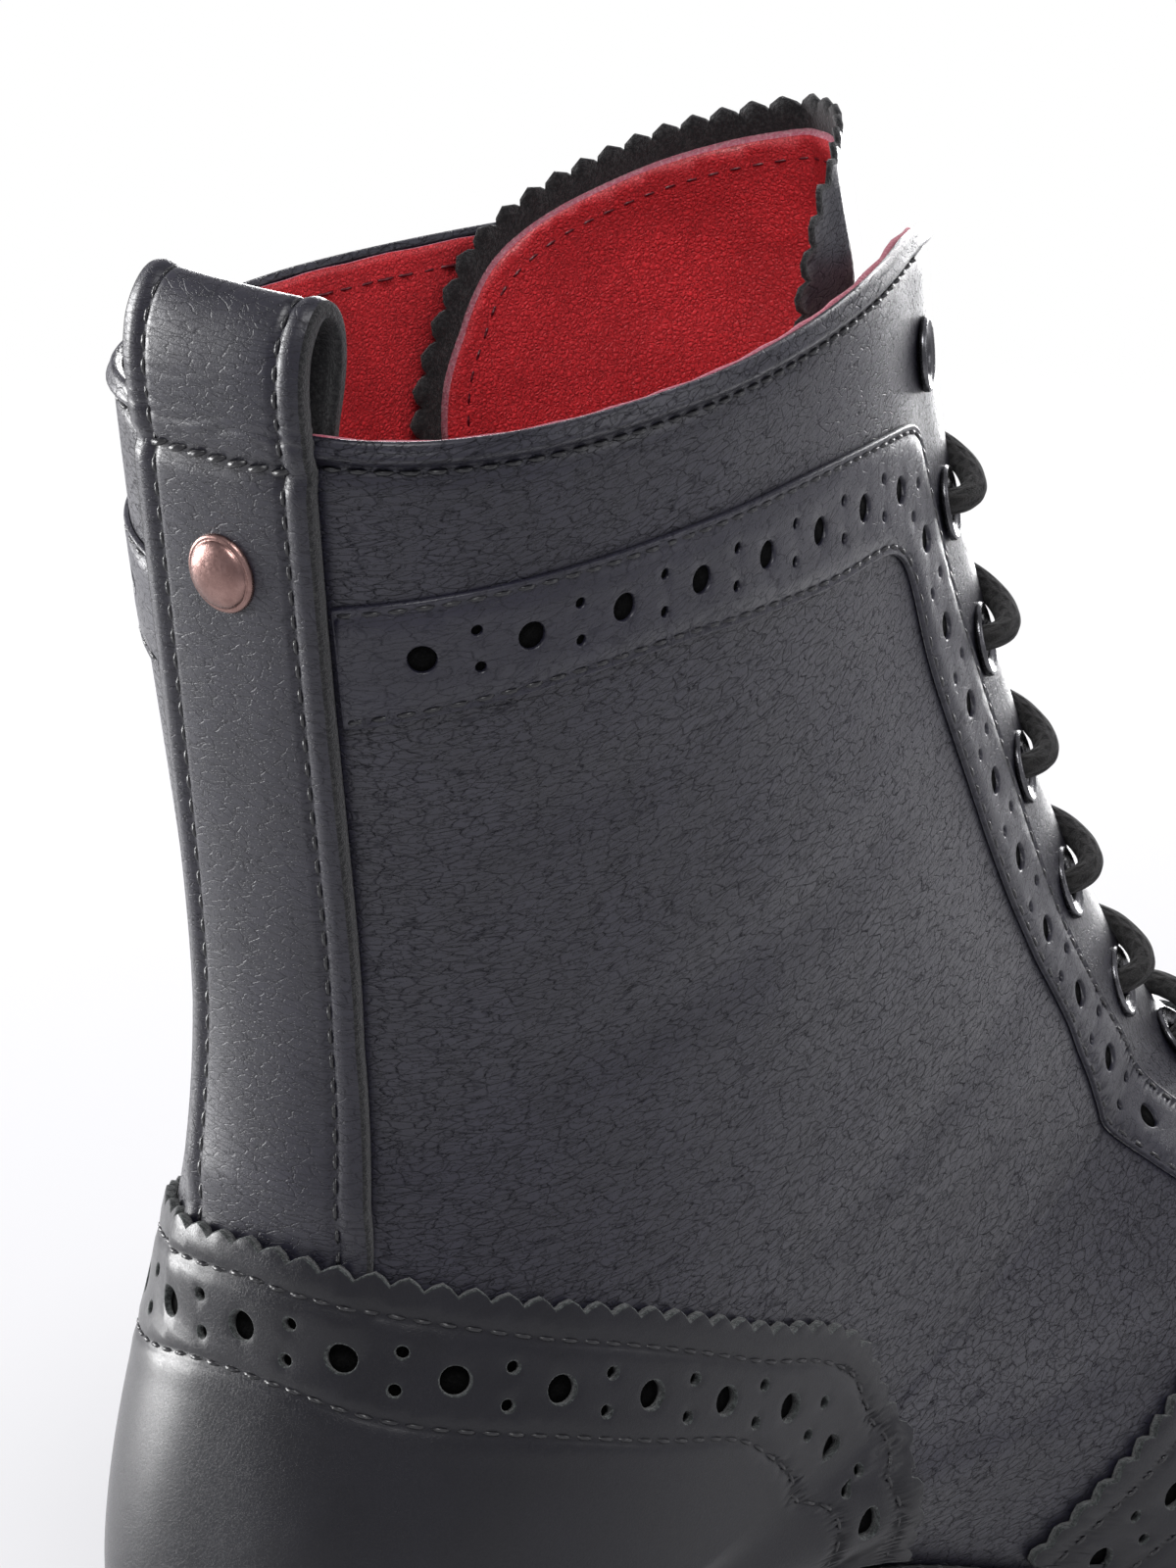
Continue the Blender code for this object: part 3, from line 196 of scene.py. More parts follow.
# Tongue's reach to the outer and the inner side by TONGUE_WIDTH, by section number
TONGUE_REACH = (
    (-1.0, 0.36, 0.57), (0.0, 0.37, 0.59), (2.0, 0.33, 0.50), (4.0, 0.29, 0.38), (6.5, 0.25, 0.28),
    (9.0, 0.18, 0.18), (10.2, 0.12, 0.12),
)
# Tongue's top edge: place across from the outer end (0) to the inner end (1) against height by TONGUE_RISE
TONGUE_TOP = (
    (0.0, -0.55), (0.03, 0.55), (0.09, 1.0), (0.24, 0.92), (0.42, 0.75), (0.62, 0.55), (0.80, 0.25),
    (0.92, -0.15), (1.0, -1.0),
)


def spline(knots, values):
    """Natural cubic spline through rows of values."""
    knots, values = np.asarray(knots, float), np.asarray(values, float)
    step = np.diff(knots)
    slope = np.diff(values, axis=0) / step.reshape((-1,) + (1,) * (values.ndim - 1))
    system, right = np.eye(len(knots)), np.zeros(values.shape)
    for i in range(1, len(knots) - 1):
        system[i, i - 1 : i + 2] = step[i - 1], 2 * (step[i - 1] + step[i]), step[i]
        right[i] = 6 * (slope[i] - slope[i - 1])
    bend = np.linalg.solve(system, right)

    def at(x):
        x = np.clip(np.asarray(x, float), knots[0], knots[-1])
        k = np.clip(np.searchsorted(knots, x, side="right") - 1, 0, len(knots) - 2)
        shape = x.shape + (1,) * (values.ndim - 1)
        width, after = step[k].reshape(shape), (x - knots[k]).reshape(shape)
        before = width - after
        return (
            (bend[k] * before**3 + bend[k + 1] * after**3) / (6 * width)
            + (values[k] / width - bend[k] * width / 6) * before
            + (values[k + 1] / width - bend[k + 1] * width / 6) * after
        )

    return at


def eased(t):
    t = np.clip(t, 0, 1)
    return t * t * (3 - 2 * t)


def line(table, column=1):
    """Reads a table row by its first column, straight between the rows."""
    rows = np.array(table)
    return lambda x: np.interp(x, rows[:, 0], rows[:, column])


def run_along(points):
    """Metres run through from the start of a line to each of its points."""
    return np.concatenate([[0], np.cumsum(np.linalg.norm(np.diff(points, axis=0), axis=1))])


def read_at(wanted, run, points):
    """The points of a line after each wanted run."""
    return np.stack([np.interp(wanted, run, points[:, k]) for k in range(points.shape[1])], -1)


def bell(distance, width):
    """1 at no distance, falling smoothly to nothing over about two widths."""
    return np.exp(-((distance / width) ** 2))


OUTLINE_ROWS = np.array(OUTLINE)
OUTLINE_SPLINE = spline(np.arccos(1 - 2 * OUTLINE_ROWS[:, 0]) / math.pi, OUTLINE_ROWS[:, 1:] * BALL_WIDTH)


def feather(turn):
    """x, outer half, inner half and axis of the feather line; turn runs from the heel (0) to the toe (1)."""
    turn = np.asarray(turn, float)
    halves = OUTLINE_SPLINE(turn)
    inside = (turn > 1e-6) & (turn < 1 - 1e-6)
    x = HEEL_BACK + LAST_LENGTH * (1 - np.cos(math.pi * turn)) / 2
    return x, np.maximum(halves[..., 0], 0) * inside, np.maximum(halves[..., 1], 0) * inside, halves[..., 2]


def sole_height(x):
    """Underside of the outsole: level at heel and ball, with an arch between them and the toe spring."""
    along = (np.asarray(x, float) - HEEL_BACK) / LAST_LENGTH
    heel = 1 - eased((along - SHANK_START) / (SHANK_END - SHANK_START))
    spring = np.clip((along - SPRING_START) / (1 - SPRING_START), 0, None) ** 2
    return HEEL_LIFT * heel + TOE_SPRING * spring


def feather_height(x):
    return sole_height(x) + OUTSOLE + WELT


def section_rows():
    """Both tables in metres: back end, front end, halves, widest place, roundness and the ridge's place."""
    instep_x = HEEL_BACK + FOOT_SECTIONS[0][1] * LAST_LENGTH
    instep_z = float(feather_height(instep_x)) + FOOT_SECTIONS[0][2] * INSTEP_HEIGHT
    seat = float(feather_height(HEEL_BACK))
    collar_x, collar_z = HEEL_BACK + COLLAR_REACH * SHAFT_DEPTH, seat + SHAFT_RISE
    rows = []
    for rise, forward, back, up, outer, inner, widest, side_round, front_round in SHAFT_SECTIONS:
        end_x, end_z = HEEL_BACK + forward * SHAFT_DEPTH, seat + rise * SHAFT_RISE
        top_x, top_z = instep_x + back * (collar_x - instep_x), instep_z + up * (collar_z - instep_z)
        halves = outer * SHAFT_WIDTH, inner * SHAFT_WIDTH
        rows.append((end_x, end_z, top_x, top_z, *halves, widest, side_round, front_round, 0.0))
    for turn, ridge, instep, toe, outer, inner, widest, side_round, front_round, sideways in FOOT_SECTIONS:
        end_x, top_x = float(feather(turn)[0]), HEEL_BACK + ridge * LAST_LENGTH
        top_z = float(feather_height(top_x)) + instep * INSTEP_HEIGHT + toe * TOE_HEIGHT
        halves = outer * BALL_WIDTH, inner * BALL_WIDTH
        row = (end_x, float(feather_height(end_x)), top_x, top_z, *halves, widest, side_round, front_round)
        rows.append((*row, sideways * BALL_WIDTH))
    return np.array(rows)


SECTION_SPLINE = spline(np.arange(LAST_ROW + 1), section_rows())
TURN_SPLINE = spline(np.arange(FOOT_START, LAST_ROW + 1), [row[0] for row in FOOT_SECTIONS])


def surface(row, u, side):
    """Point of the upper's outside. u runs from the ridge (0) round the side to the back or feather (1).

    Each half section is two quarters of a superellipse that meet at its widest point, and where the feather
    is wide the lower one turns into an upright side. Above the collar it goes straight on up, by one shaft
    width for each section number below 0.
    """
    row, u, side = np.broadcast_arrays(np.asarray(row, float), np.asarray(u, float), np.asarray(side, float))
    value = SECTION_SPLINE(np.clip(row, 0, LAST_ROW))
    end_x, end_z, top_x, top_z, outer, inner = np.moveaxis(value[..., :6], -1, 0)
    widest, side_round, front_round, ridge = np.moveaxis(value[..., 6:], -1, 0)
    foot = row >= FOOT_START
    turn = np.where(foot, TURN_SPLINE(np.maximum(row, FOOT_START)), 0.0)
    feather_x, outer_half, inner_half, axis = feather(turn)
    low = np.where(side < 0, outer_half, inner_half) * foot
    end_x, end_z = np.where(foot, feather_x, end_x), np.where(foot, feather_height(feather_x), end_z)
    axis = np.where(foot, axis, 0.0)
    half = np.maximum(np.where(side < 0, outer, inner), 0)
    half = (half**8 + (1.025 * low) ** 8) ** 0.125
    length = np.hypot(top_x - end_x, top_z - end_z) + 1e-9
    front = u <= 0.5
    quarter = np.where(front, 2 * u, 2 * (1 - u)) * math.pi / 2
    reach = length * np.where(front, 1 - widest, widest)
    stretch = np.sqrt(np.clip(reach / np.maximum(half, 1e-6), 0.2, 5.0))
    angle = np.arctan2(stretch * np.sin(quarter), np.cos(quarter))
    power = np.where(front, front_round, side_round)
    radius = (np.abs(np.cos(angle)) ** power + np.abs(np.sin(angle)) ** power) ** (1 / power)
    along, across = np.cos(angle) / radius, np.sin(angle) / radius
    upright, height = eased(low / (0.8 * np.maximum(half, 1e-6))), 2 * (1 - u)
    low_share = widest * ((1 - upright) * (1 - along) + upright * height)
    low_across = (1 - upright) * across + upright * np.sin(np.clip(height, 0, 1) * math.pi / 2)
    share = np.where(front, widest + (1 - widest) * along, low_share)
    sideways = np.where(front, half * across, low + (half - low) * low_across)
    centre = axis + (ridge - axis) * share
    rise = np.maximum(-row, 0) * SHAFT_WIDTH
    x, z = end_x + (top_x - end_x) * share, end_z + (top_z - end_z) * share + rise
    return np.stack([x, centre + side * sideways, z], -1)


def normal(row, u, side):
    """Outward normal of the surface. Near the feather it is taken a little higher up, on the upright side.

    On the back line and on the ridge it is shared by both sides, and at the toe's tip it points straight
    ahead.
    """
    row, u, side = np.broadcast_arrays(np.asarray(row, float), np.asarray(u, float), np.asarray(side, float))
    seam = (u < 1e-3) | ((u > 0.999) & (row < FOOT_START))
    around = np.minimum(u, np.where(row >= FOOT_START, 0.88, 1.0))
    level = np.minimum(row, LAST_ROW - 0.02)
    step_up = np.where((level >= FOOT_START) & (level < FOOT_START + 2e-3), 0.0, 2e-3)

    def one_sided(side):
        before, after = np.maximum(around - 2e-3, 0), np.minimum(around + 2e-3, 1)
        du = surface(level, after, side) - surface(level, before, side)
        dv = surface(level + 2e-3, around, side) - surface(level - step_up, around, side)
        across = np.cross(dv, du) * side[..., None]
        return across / (np.linalg.norm(across, axis=-1, keepdims=True) + 1e-15)

    out = one_sided(side)
    out = np.where(seam[..., None], out + one_sided(-side), out)
    out = np.where((row > LAST_ROW - 1e-3)[..., None], np.array([1.0, 0, 0]), out)
    out[..., 2] *= np.where(row >= FOOT_START, eased((1 - u) / 0.35), 1.0)
    return out / (np.linalg.norm(out, axis=-1, keepdims=True) + 1e-15)


def lifted(row, u, side, height):
    return surface(row, u, side) + np.asarray(height, float)[..., None] * normal(row, u, side)


def throat_half(row):
    """Half of the gap between the facings, closing to nothing in a round end at the throat's base."""
    down = np.maximum(row - THROAT_ROUND, 0) / (THROAT_BASE - THROAT_ROUND)
    return line(THROAT)(row) * THROAT_GAP * np.sqrt(np.clip(1 - down**2, 0, 1))


def u_at_half(row, side, half):
    """How far round the section reaches this distance from the ridge's plane."""
    u = np.linspace(0, 0.5, 200)
    points = surface(row, u, side)
    return float(np.interp(half, np.abs(points[:, 1] - points[0, 1]), u))


def throat_edge(row, side):
    return u_at_half(row, side, float(throat_half(row))) if row < THROAT_BASE else 0.0


def u_past(row, side, start, distance):
    """How far round the section lies this distance along it from a start."""
    u = np.linspace(start, 0.98, 300)
    points = surface(row, u, side)
    run = run_along(points)
    return float(np.interp(distance, run, u))


def eyelet_places():
    """Centre, normal, direction to the facing's edge and section number of each eyelet, from the top down."""
    places = {}
    for side in (OUTER, INNER):
        rows = np.linspace(0, EYELET_LIMIT, 193)
        around = np.array([u_past(row, side, throat_edge(row, side), FACING) for row in rows])
        points = surface(rows, around, side)
        run = run_along(points)
        wanted = FIRST_EYELET + EYELET_PITCH * np.arange(EYELET_COUNT)
        row, u = np.interp(wanted, run, rows), np.interp(wanted, run, around)
        centre, out = surface(row, u, side), normal(row, u, side)
        edge = surface(row, np.array([throat_edge(r, side) for r in row]), side) - centre
        edge -= (edge * out).sum(-1, keepdims=True) * out
        edge /= np.linalg.norm(edge, axis=-1, keepdims=True)
        places[side] = centre, out, edge, row
    return places


def frame_of(out):
    out = np.asarray(out, float)
    side = np.cross(out, (0, 0, 1.0))
    side /= np.linalg.norm(side)
    return side, np.cross(out, side), out


def smooth_path(points, per_span):
    """Catmull-Rom curve through the points, with end tangents from the first and last spans."""
    points = np.asarray(points, float)
    ends = np.concatenate([[2 * points[0] - points[1]], points, [2 * points[-1] - points[-2]]])
    t = (np.arange(per_span) / per_span)[None, :, None]
    p0, p1, p2, p3 = (ends[k : len(ends) - 3 + k][:, None, :] for k in range(4))
    curve = p1 + 0.5 * t * (p2 - p0 + t * (2 * p0 - 5 * p1 + 4 * p2 - p3 + t * (3 * (p1 - p2) + p3 - p0)))
    return np.concatenate([curve.reshape(-1, 3), points[-1:]])


def edge_point(row, side, height, beyond=0.0):
    """Point at the facing's edge, lifted off its outside and moved on into the throat."""
    u = throat_edge(row, side)
    point = lifted(row, u, side, np.array(height))
    return point + np.array([0, -side * beyond, 0])


def lace_path(places, side):
    """One strand from the bar at the lowest eyelets up to the second pair, where it ends behind the facing.

    At each eyelet it comes up through the hole, goes over the facing's edge, crosses the throat and passes
    behind the other facing to the next hole up.
    """
    radius = LACE / 2
    over = SEAT_GAP + EYELET_RISE + radius + SEAT_GAP
    under = -WALL - radius - 2.2 * SEAT_GAP
    last = EYELET_COUNT - 1
    centre, out, edge, row = places[side]
    bottom = centre[last] + under * out[last]
    other = places[-side][0][last] + under * places[-side][1][last]
    points = [0.5 * (bottom + other) + 0.1 * radius * out[last]]
    points.append(edge_point(row[last], side, under - 0.4 * radius))
    points.append(bottom + 0.30 * FACING * edge[last] - 0.2 * radius * out[last])
    for number in range(last, 0, -1):
        centre, out, edge, row = places[side]
        hole, away, toward = centre[number], out[number], edge[number]
        points.append(hole - (WALL + 0.55 * radius) * away + 0.10 * radius * toward)
        points.append(hole + 0.2 * WALL * away)
        points.append(hole + (over - 0.25 * radius) * away + 0.50 * radius * toward)
        points.append(hole + (over + 0.6 * radius) * away + 0.36 * FACING * toward)
        upper_row = places[-side][3][number - 1]
        near_row = row[number] + 0.22 * (upper_row - row[number])
        points.append(edge_point(near_row, side, 1.6 * radius + SEAT_GAP, 0.9 * radius))
        if number == 1:
            points.append(edge_point(near_row - 0.1, side, -WALL - 0.2 * radius, 2.1 * radius))
            break
        far_row = row[number] + 0.72 * (upper_row - row[number])
        far_centre, far_out, far_edge, _ = places[-side]
        points.append(edge_point(near_row - 0.08, side, 0.0, 2.7 * radius))
        points.append(edge_point(far_row + 0.06, -side, under - 0.3 * radius, 1.5 * radius))
        points.append(edge_point(far_row, -side, under - 1.25 * radius, -0.3 * radius))
        side = -side
        points.append(
            far_centre[number - 1]
            + (under - 0.75 * radius) * far_out[number - 1]
            + 0.45 * FACING * far_edge[number - 1]
        )
    return smooth_path(points, 2)


def tongue_section(row):
    """The tongue's outside across one section: metres round it from the middle, points and outward normals.

    It follows the upper's lining at a distance that leaves room for the lace behind the facings, and is
    rounded off across the throat.
    """
    level = max(row, 0.0)
    u = np.linspace(0, 0.8, 240)
    middle = float(SECTION_SPLINE(level)[6])
    back = surface(level, 1.0, OUTER)
    direction = surface(level, 0.0, OUTER) - back
    direction[1] = 0
    length = np.linalg.norm(direction)
    direction /= length
    origin = back + direction * length * middle
    origin[1] = surface(level, 0.5, OUTER)[1] / 2 + surface(level, 0.5, INNER)[1] / 2
    room = LACE + 4.2 * SEAT_GAP
    laced = float(eased((row - TONGUE_FREE) / 1.1))
    closing = float(eased((row - LACE_END) / LACE_FADE))
    closeness = 0.9 * room * (1 - closing) * laced + 0.1 * room
    gap = WALL + SIDE_GAP + closeness * (1 - eased((u - 0.16) / 0.26))
    polar = []
    for side in (OUTER, INNER):
        inner = lifted(np.full(u.shape, level), u, side, -gap) - origin
        ahead, across = inner @ direction, inner[:, 1]
        polar.append(np.stack([np.arctan2(across, ahead), np.hypot(ahead, across)], -1))
    polar = np.concatenate(polar)
    angle = np.linspace(-1.9, 1.9, 153)
    near = np.abs(angle[:, None] - polar[None, :, 0]) < 0.04
    radius = np.where(near, polar[None, :, 1], 1e3).min(axis=1)
    good = radius < 1
    radius = np.interp(angle, angle[good], radius[good])
    facing_edge = throat_edge(min(level, THROAT_BASE - 0.01), OUTER)
    edge = lifted(level, facing_edge, OUTER, np.array(-WALL / 2)) - origin
    limit = (edge @ direction) - 0.5 * WALL - LACE * laced * (1 - 0.8 * closing)
    radius = (radius**-9.0 + limit**-9.0) ** (-1 / 9.0)
    for _ in range(3):
        radius = np.convolve(np.pad(radius, 3, mode="edge"), np.ones(7) / 7, mode="valid")
    out = np.cos(angle)[:, None] * direction + np.sin(angle)[:, None] * np.array((0, 1.0, 0))
    points = origin + radius[:, None] * out
    run = run_along(points)
    run -= np.interp(0.0, angle, run)
    return run, points, out


def feather_ring(offset, count=56):
    """Closed plan line round the foot outside the feather line, from the heel by the outer side."""
    turn = np.linspace(0, 1, count // 2 + 1)
    x, outer, inner, axis = feather(turn)
    plan = np.concatenate([np.stack([x, axis - outer], -1), np.stack([x, axis + inner], -1)[-2:0:-1]])
    along = np.roll(plan, -1, axis=0) - np.roll(plan, 1, axis=0)
    out = np.stack([-along[:, 1], along[:, 0]], -1)
    out /= np.linalg.norm(out, axis=1, keepdims=True)
    centre = plan.mean(axis=0)
    if ((plan - centre) * out).sum() < 0:
        out = -out
    distance = offset(x) if callable(offset) else np.full(len(turn), offset)
    distance = np.concatenate([distance, distance[-2:0:-1]])
    return plan + out * distance[:, None]


def extension(x):
    """How far the sole reaches beyond the feather line: narrow behind, wider at the forefoot."""
    along = (x - HEEL_BACK) / LAST_LENGTH
    return HEEL_EXTENSION + (WELT_EXTENSION - HEEL_EXTENSION) * eased((along - 0.40) / 0.25)


def heel_plan(inset):
    """Plan of the heel: the sole's line round the back, closed by a slightly hollow breast."""
    ring = feather_ring(lambda x: extension(x) - inset, 96)
    front = HEEL_BACK + HEEL_LENGTH - inset
    half = len(ring) // 2
    outer, inner = ring[: half + 1], np.concatenate([ring[:1], ring[:half - 1:-1]])
    share = np.linspace(0, 1, 9) ** 0.75
    sides = []
    for edge in (outer, inner):
        run = np.interp(front, edge[:, 0], np.arange(len(edge)))
        sides.append(read_at(run * share, np.arange(len(edge)), edge))
    left, right = sides
    t = np.linspace(0, 1, 6)[1:-1, None]
    breast = left[-1] + (right[-1] - left[-1]) * t
    breast[:, 0] -= 0.0022 * np.sin(math.pi * t[:, 0])
    return np.concatenate([left, breast, right[:0:-1]])


# Heel's layers and the seam between the lowest one and the top lift
HEEL_LAYERS, LAYER_GROOVE, LAYER_BEVEL, LIFT_GAP = 6, 0.00016, 0.0003, 0.0001

# Leather of each piece, and how far it starts below its solid's underside
LEATHER, LINING, BAND_LEATHER, PIECE_LEATHER = 0.0014, 0.0007, 0.0006, 0.0012
CAP_LEATHER, TONGUE_LEATHER = 1.5 * OVERLAY, 0.0011
COUNTER_SINK, BAND_SINK, VAMP_SINK = 0.0004, 0.0003, 0.0002

# Pinked edge, then seams and holes by their distance from it
PINKING, PINKING_DEPTH = 0.0038, 0.0013
FIRST_SEAM, HOLE_LINE, SECOND_SEAM, BAND_SEAM = 0.0032, 0.0084, 0.0132, 0.0006
BIG_HOLE, SMALL_HOLE, HOLE_PITCH, PAIR_WIDTH = 0.0039, 0.0019, 0.0126, 0.0045
# Floor of a hole, a near-black disc of painted shade inside the punch, above and below the piece's underside
FLOOR_HEIGHT, FLOOR_DEPTH = 0.00008, 0.00025

# Rosette on the cap: its section, then each ring's holes, distance from the middle, hole width and turn
ROSETTE_ROW = 15.1
ROSETTE = ((1, 0.0, BIG_HOLE, 0.0), (8, 0.0058, SMALL_HOLE, 0.0), (8, 0.0098, 1.5 * SMALL_HOLE, 0.5))

# Stitches, and how a seam draws the leather in and lets it swell beside it, as a share of the groove's depth
STITCH_PITCH, STITCH_LENGTH, STITCH_THICKNESS = 0.0030, 0.0025, 0.00060
GROOVE_DEPTH, GROOVE_WIDTH = 0.00045, 0.00042
SWELL, SWELL_PLACE, SWELL_WIDTH = 0.22, 0.0019, 0.0012

# Collar: its seam and the bead over it by their way down, and metres down for one section number
COLLAR_ROW = 0.155 * SHAFT_RISE
COLLAR_SEAM, SKIN_OVER_HOLE = 0.0031, 0.0002
BEAD, BEAD_RISE, BEAD_WIDTH = 0.0011, 0.00075, 0.0010
BEAD_GROOVE, BEAD_DIP, BEAD_GROOVE_WIDTH = 0.0024, 0.0003, 0.0005
LINING_GAP, LINING_SLACK, LINING_INSET = 0.00005, 0.00025, 0.004
# Round corner of the facing under the collar, and how far the collar drops towards it
CORNER_DEPTH, CORNER_BACK, CORNER_DROP, CORNER_REACH = 0.0075, 0.0075, 0.0022, 0.085

# Strap: where its foot lies under the counter and how far it sinks there, how flat it lies across, its half
# width, the share of it where each seam runs, the rolled edge's rise, and the section of the seam across it
STRAP_FOOT, STRAP_SINK, STRAP_FLATNESS = 4.24, 0.0012, 0.35
STRAP_HALF, STRAP_SEAM, ROLL_RISE, CROSS_SEAM_ROW = 0.0123, 0.76, 0.00030, 0.15
# Loop: height by LOOP_HEIGHT and distance out by LOOP_DEPTH, from the outside over the top to the inside
LOOP_BEND = (
    (0.35, 0.10), (0.68, 0.05), (0.90, -0.18), (1.0, -0.50), (0.90, -0.84), (0.66, -1.0), (0.33, -0.93),
)
# Points along the strap: rows worked out from its path, points up to the collar, round the loop and in seams
CLIMB_ROWS, CLIMB_POINTS, LOOP_POINTS, SEAM_POINTS = 40, 120, 90, 190
# Pinch and ripples under the loop, on what lies behind a given x
PINCH_HEIGHT, PINCH_DEPTH = 0.1843, 0.0007
RIPPLE_HEIGHT, RIPPLE_DEPTH, LOOP_FRONT = 0.1895, 0.00016, -0.0255

# Tongue: how it leans in above the collar, how its near corner drops, its teeth by PINKING_DEPTH
TONGUE_LEAN, LEAN_START, NEAR_CORNER, TONGUE_TEETH, TONGUE_SMOOTHING = 0.20, 0.010, 0.0062, 1.25, 34
# Tongue's near edge turned in, the soft ridge beside it and the valley farther in, by distance from the edge
TURNED_IN, TURNED_WIDTH, RIDGE_RISE, RIDGE_WIDTH = 0.0042, 0.0105, 0.0005, 0.0016
VALLEY_DEPTH, VALLEY_PLACE, VALLEY_WIDTH = 0.0010, 0.034, 0.0022

# Soft creases: side (0 for both), section, share round, slope, half width in sections, reach round, depth
SOFT_CREASES = (
    (OUTER, 3.1, 0.62, 0.9, 0.26, 0.26, 0.0005), (OUTER, 1.9, 0.72, 0.5, 0.20, 0.16, 0.0003),
    (INNER, 2.7, 0.60, 0.8, 0.26, 0.24, 0.0005), (OUTER, 6.2, 0.25, 1.6, 0.42, 0.16, 0.0005),
    (INNER, 6.1, 0.27, 2.4, 0.42, 0.18, 0.0006), (OUTER, 7.6, 0.27, 1.4, 0.34, 0.15, 0.0005),
    (INNER, 7.3, 0.33, -1.2, 0.34, 0.17, 0.0007), (OUTER, 4.9, 0.33, 1.2, 0.30, 0.15, 0.0004),
    (0, 10.9, 0.20, 0.5, 0.09, 0.45, 0.0006), (0, 11.35, 0.24, 0.4, 0.09, 0.42, 0.0006),
    (0, 3.55, 0.97, 0.0, 0.16, 0.16, 0.0004),
)
FACING_SPRING = 0.0010

# Counter's second seam, as its edge: section number against share round
COUNTER_SEAM = (
    (4.70, 1.0), (4.72, 0.950), (4.79, 0.902), (5.03, 0.787), (5.38, 0.690), (5.75, 0.610), (6.15, 0.530),
    (6.75, 0.482), (7.50, 0.495), (8.35, 0.580), (9.10, 0.800), (9.30, 0.930),
)

# Profiles of free edges: how far out and how far down, in metres
RAW_EDGE = ((0.0003, 0.00005), (0.0006, 0.0002), (0.0007, 0.0005))
TONGUE_EDGE = ((0.0004, 0.0001), (0.0008, 0.0003), (0.0001, 0.00078))
BAND_EDGE = ((0.0002, 0.00006), (0.00032, 0.00025), (0.00034, 0.0006))
CUT_EDGE = ((0.00008, 0.00003), (0.00016, 0.00012), (0.00020, 0.00030))
FOLDED_EDGE = (
    (0.00035, 0.00006), (0.00062, 0.00026), (0.00074, 0.00056), (0.00066, 0.00092), (0.00036, 0.00122),
)

# Upright creases beside the facing, by x + lean * z: where they start and where they are whole
FACING_LEAN, FACING_CREASES = 0.44, (0.138, 0.160)

# Surround and soft lights: name, place, width in metres, power in watts
SURROUND, SURROUND_COLOUR = 0.52, (0.94, 0.93, 1.0)
LIGHTS_AIM = (0.05, 0, 0.12)
SOFT_LIGHTS = (
    ("front softbox", (1.1, -1.3, 0.8), 0.9, 3.0),
    ("left softbox", (-0.45, 1.45, 0.18), 0.9, 36.0),
    ("far softbox", (1.25, 0.62, 0.14), 0.8, 24.0),
    ("overhead", (-0.7, -0.5, 1.5), 0.6, 11.0),
)

# Half the floor's side, and where it starts to fade and is gone
FLOOR_REACH, FLOOR_FADE = 3.0, (0.32, 0.62)

# Camera, set so that a mark on the back strap falls on its pixel of the frame
FRAME_HEIGHT, FRAME_WIDTH = 1600, 1200
CAMERA_AZIMUTH, CAMERA_ELEVATION = -50.0, 20.0
CAMERA_FOCAL = 9300.0
CAMERA_DISTANCE = 1.0
STRAP_MARK = (-0.0295, -0.002, 0.188)
STRAP_MARK_PIXEL = (232.0, 440.0)


# Finishes


class Wire:
    """A socket that takes part in sums. Each sum adds a Math node to its finish."""

    def __init__(self, finish, socket):
        self.finish, self.socket = finish, socket

    def math(self, operation, *others):
        return self.finish.math(operation, self, *others)

    def __add__(self, other):
        return self.math("ADD", other)

    def __sub__(self, other):
        return self.math("SUBTRACT", other)

    def __rsub__(self, other):
        return self.finish.math("SUBTRACT", other, self)

    def __mul__(self, other):
        return self.math("MULTIPLY", other)

    __radd__, __rmul__ = __add__, __mul__


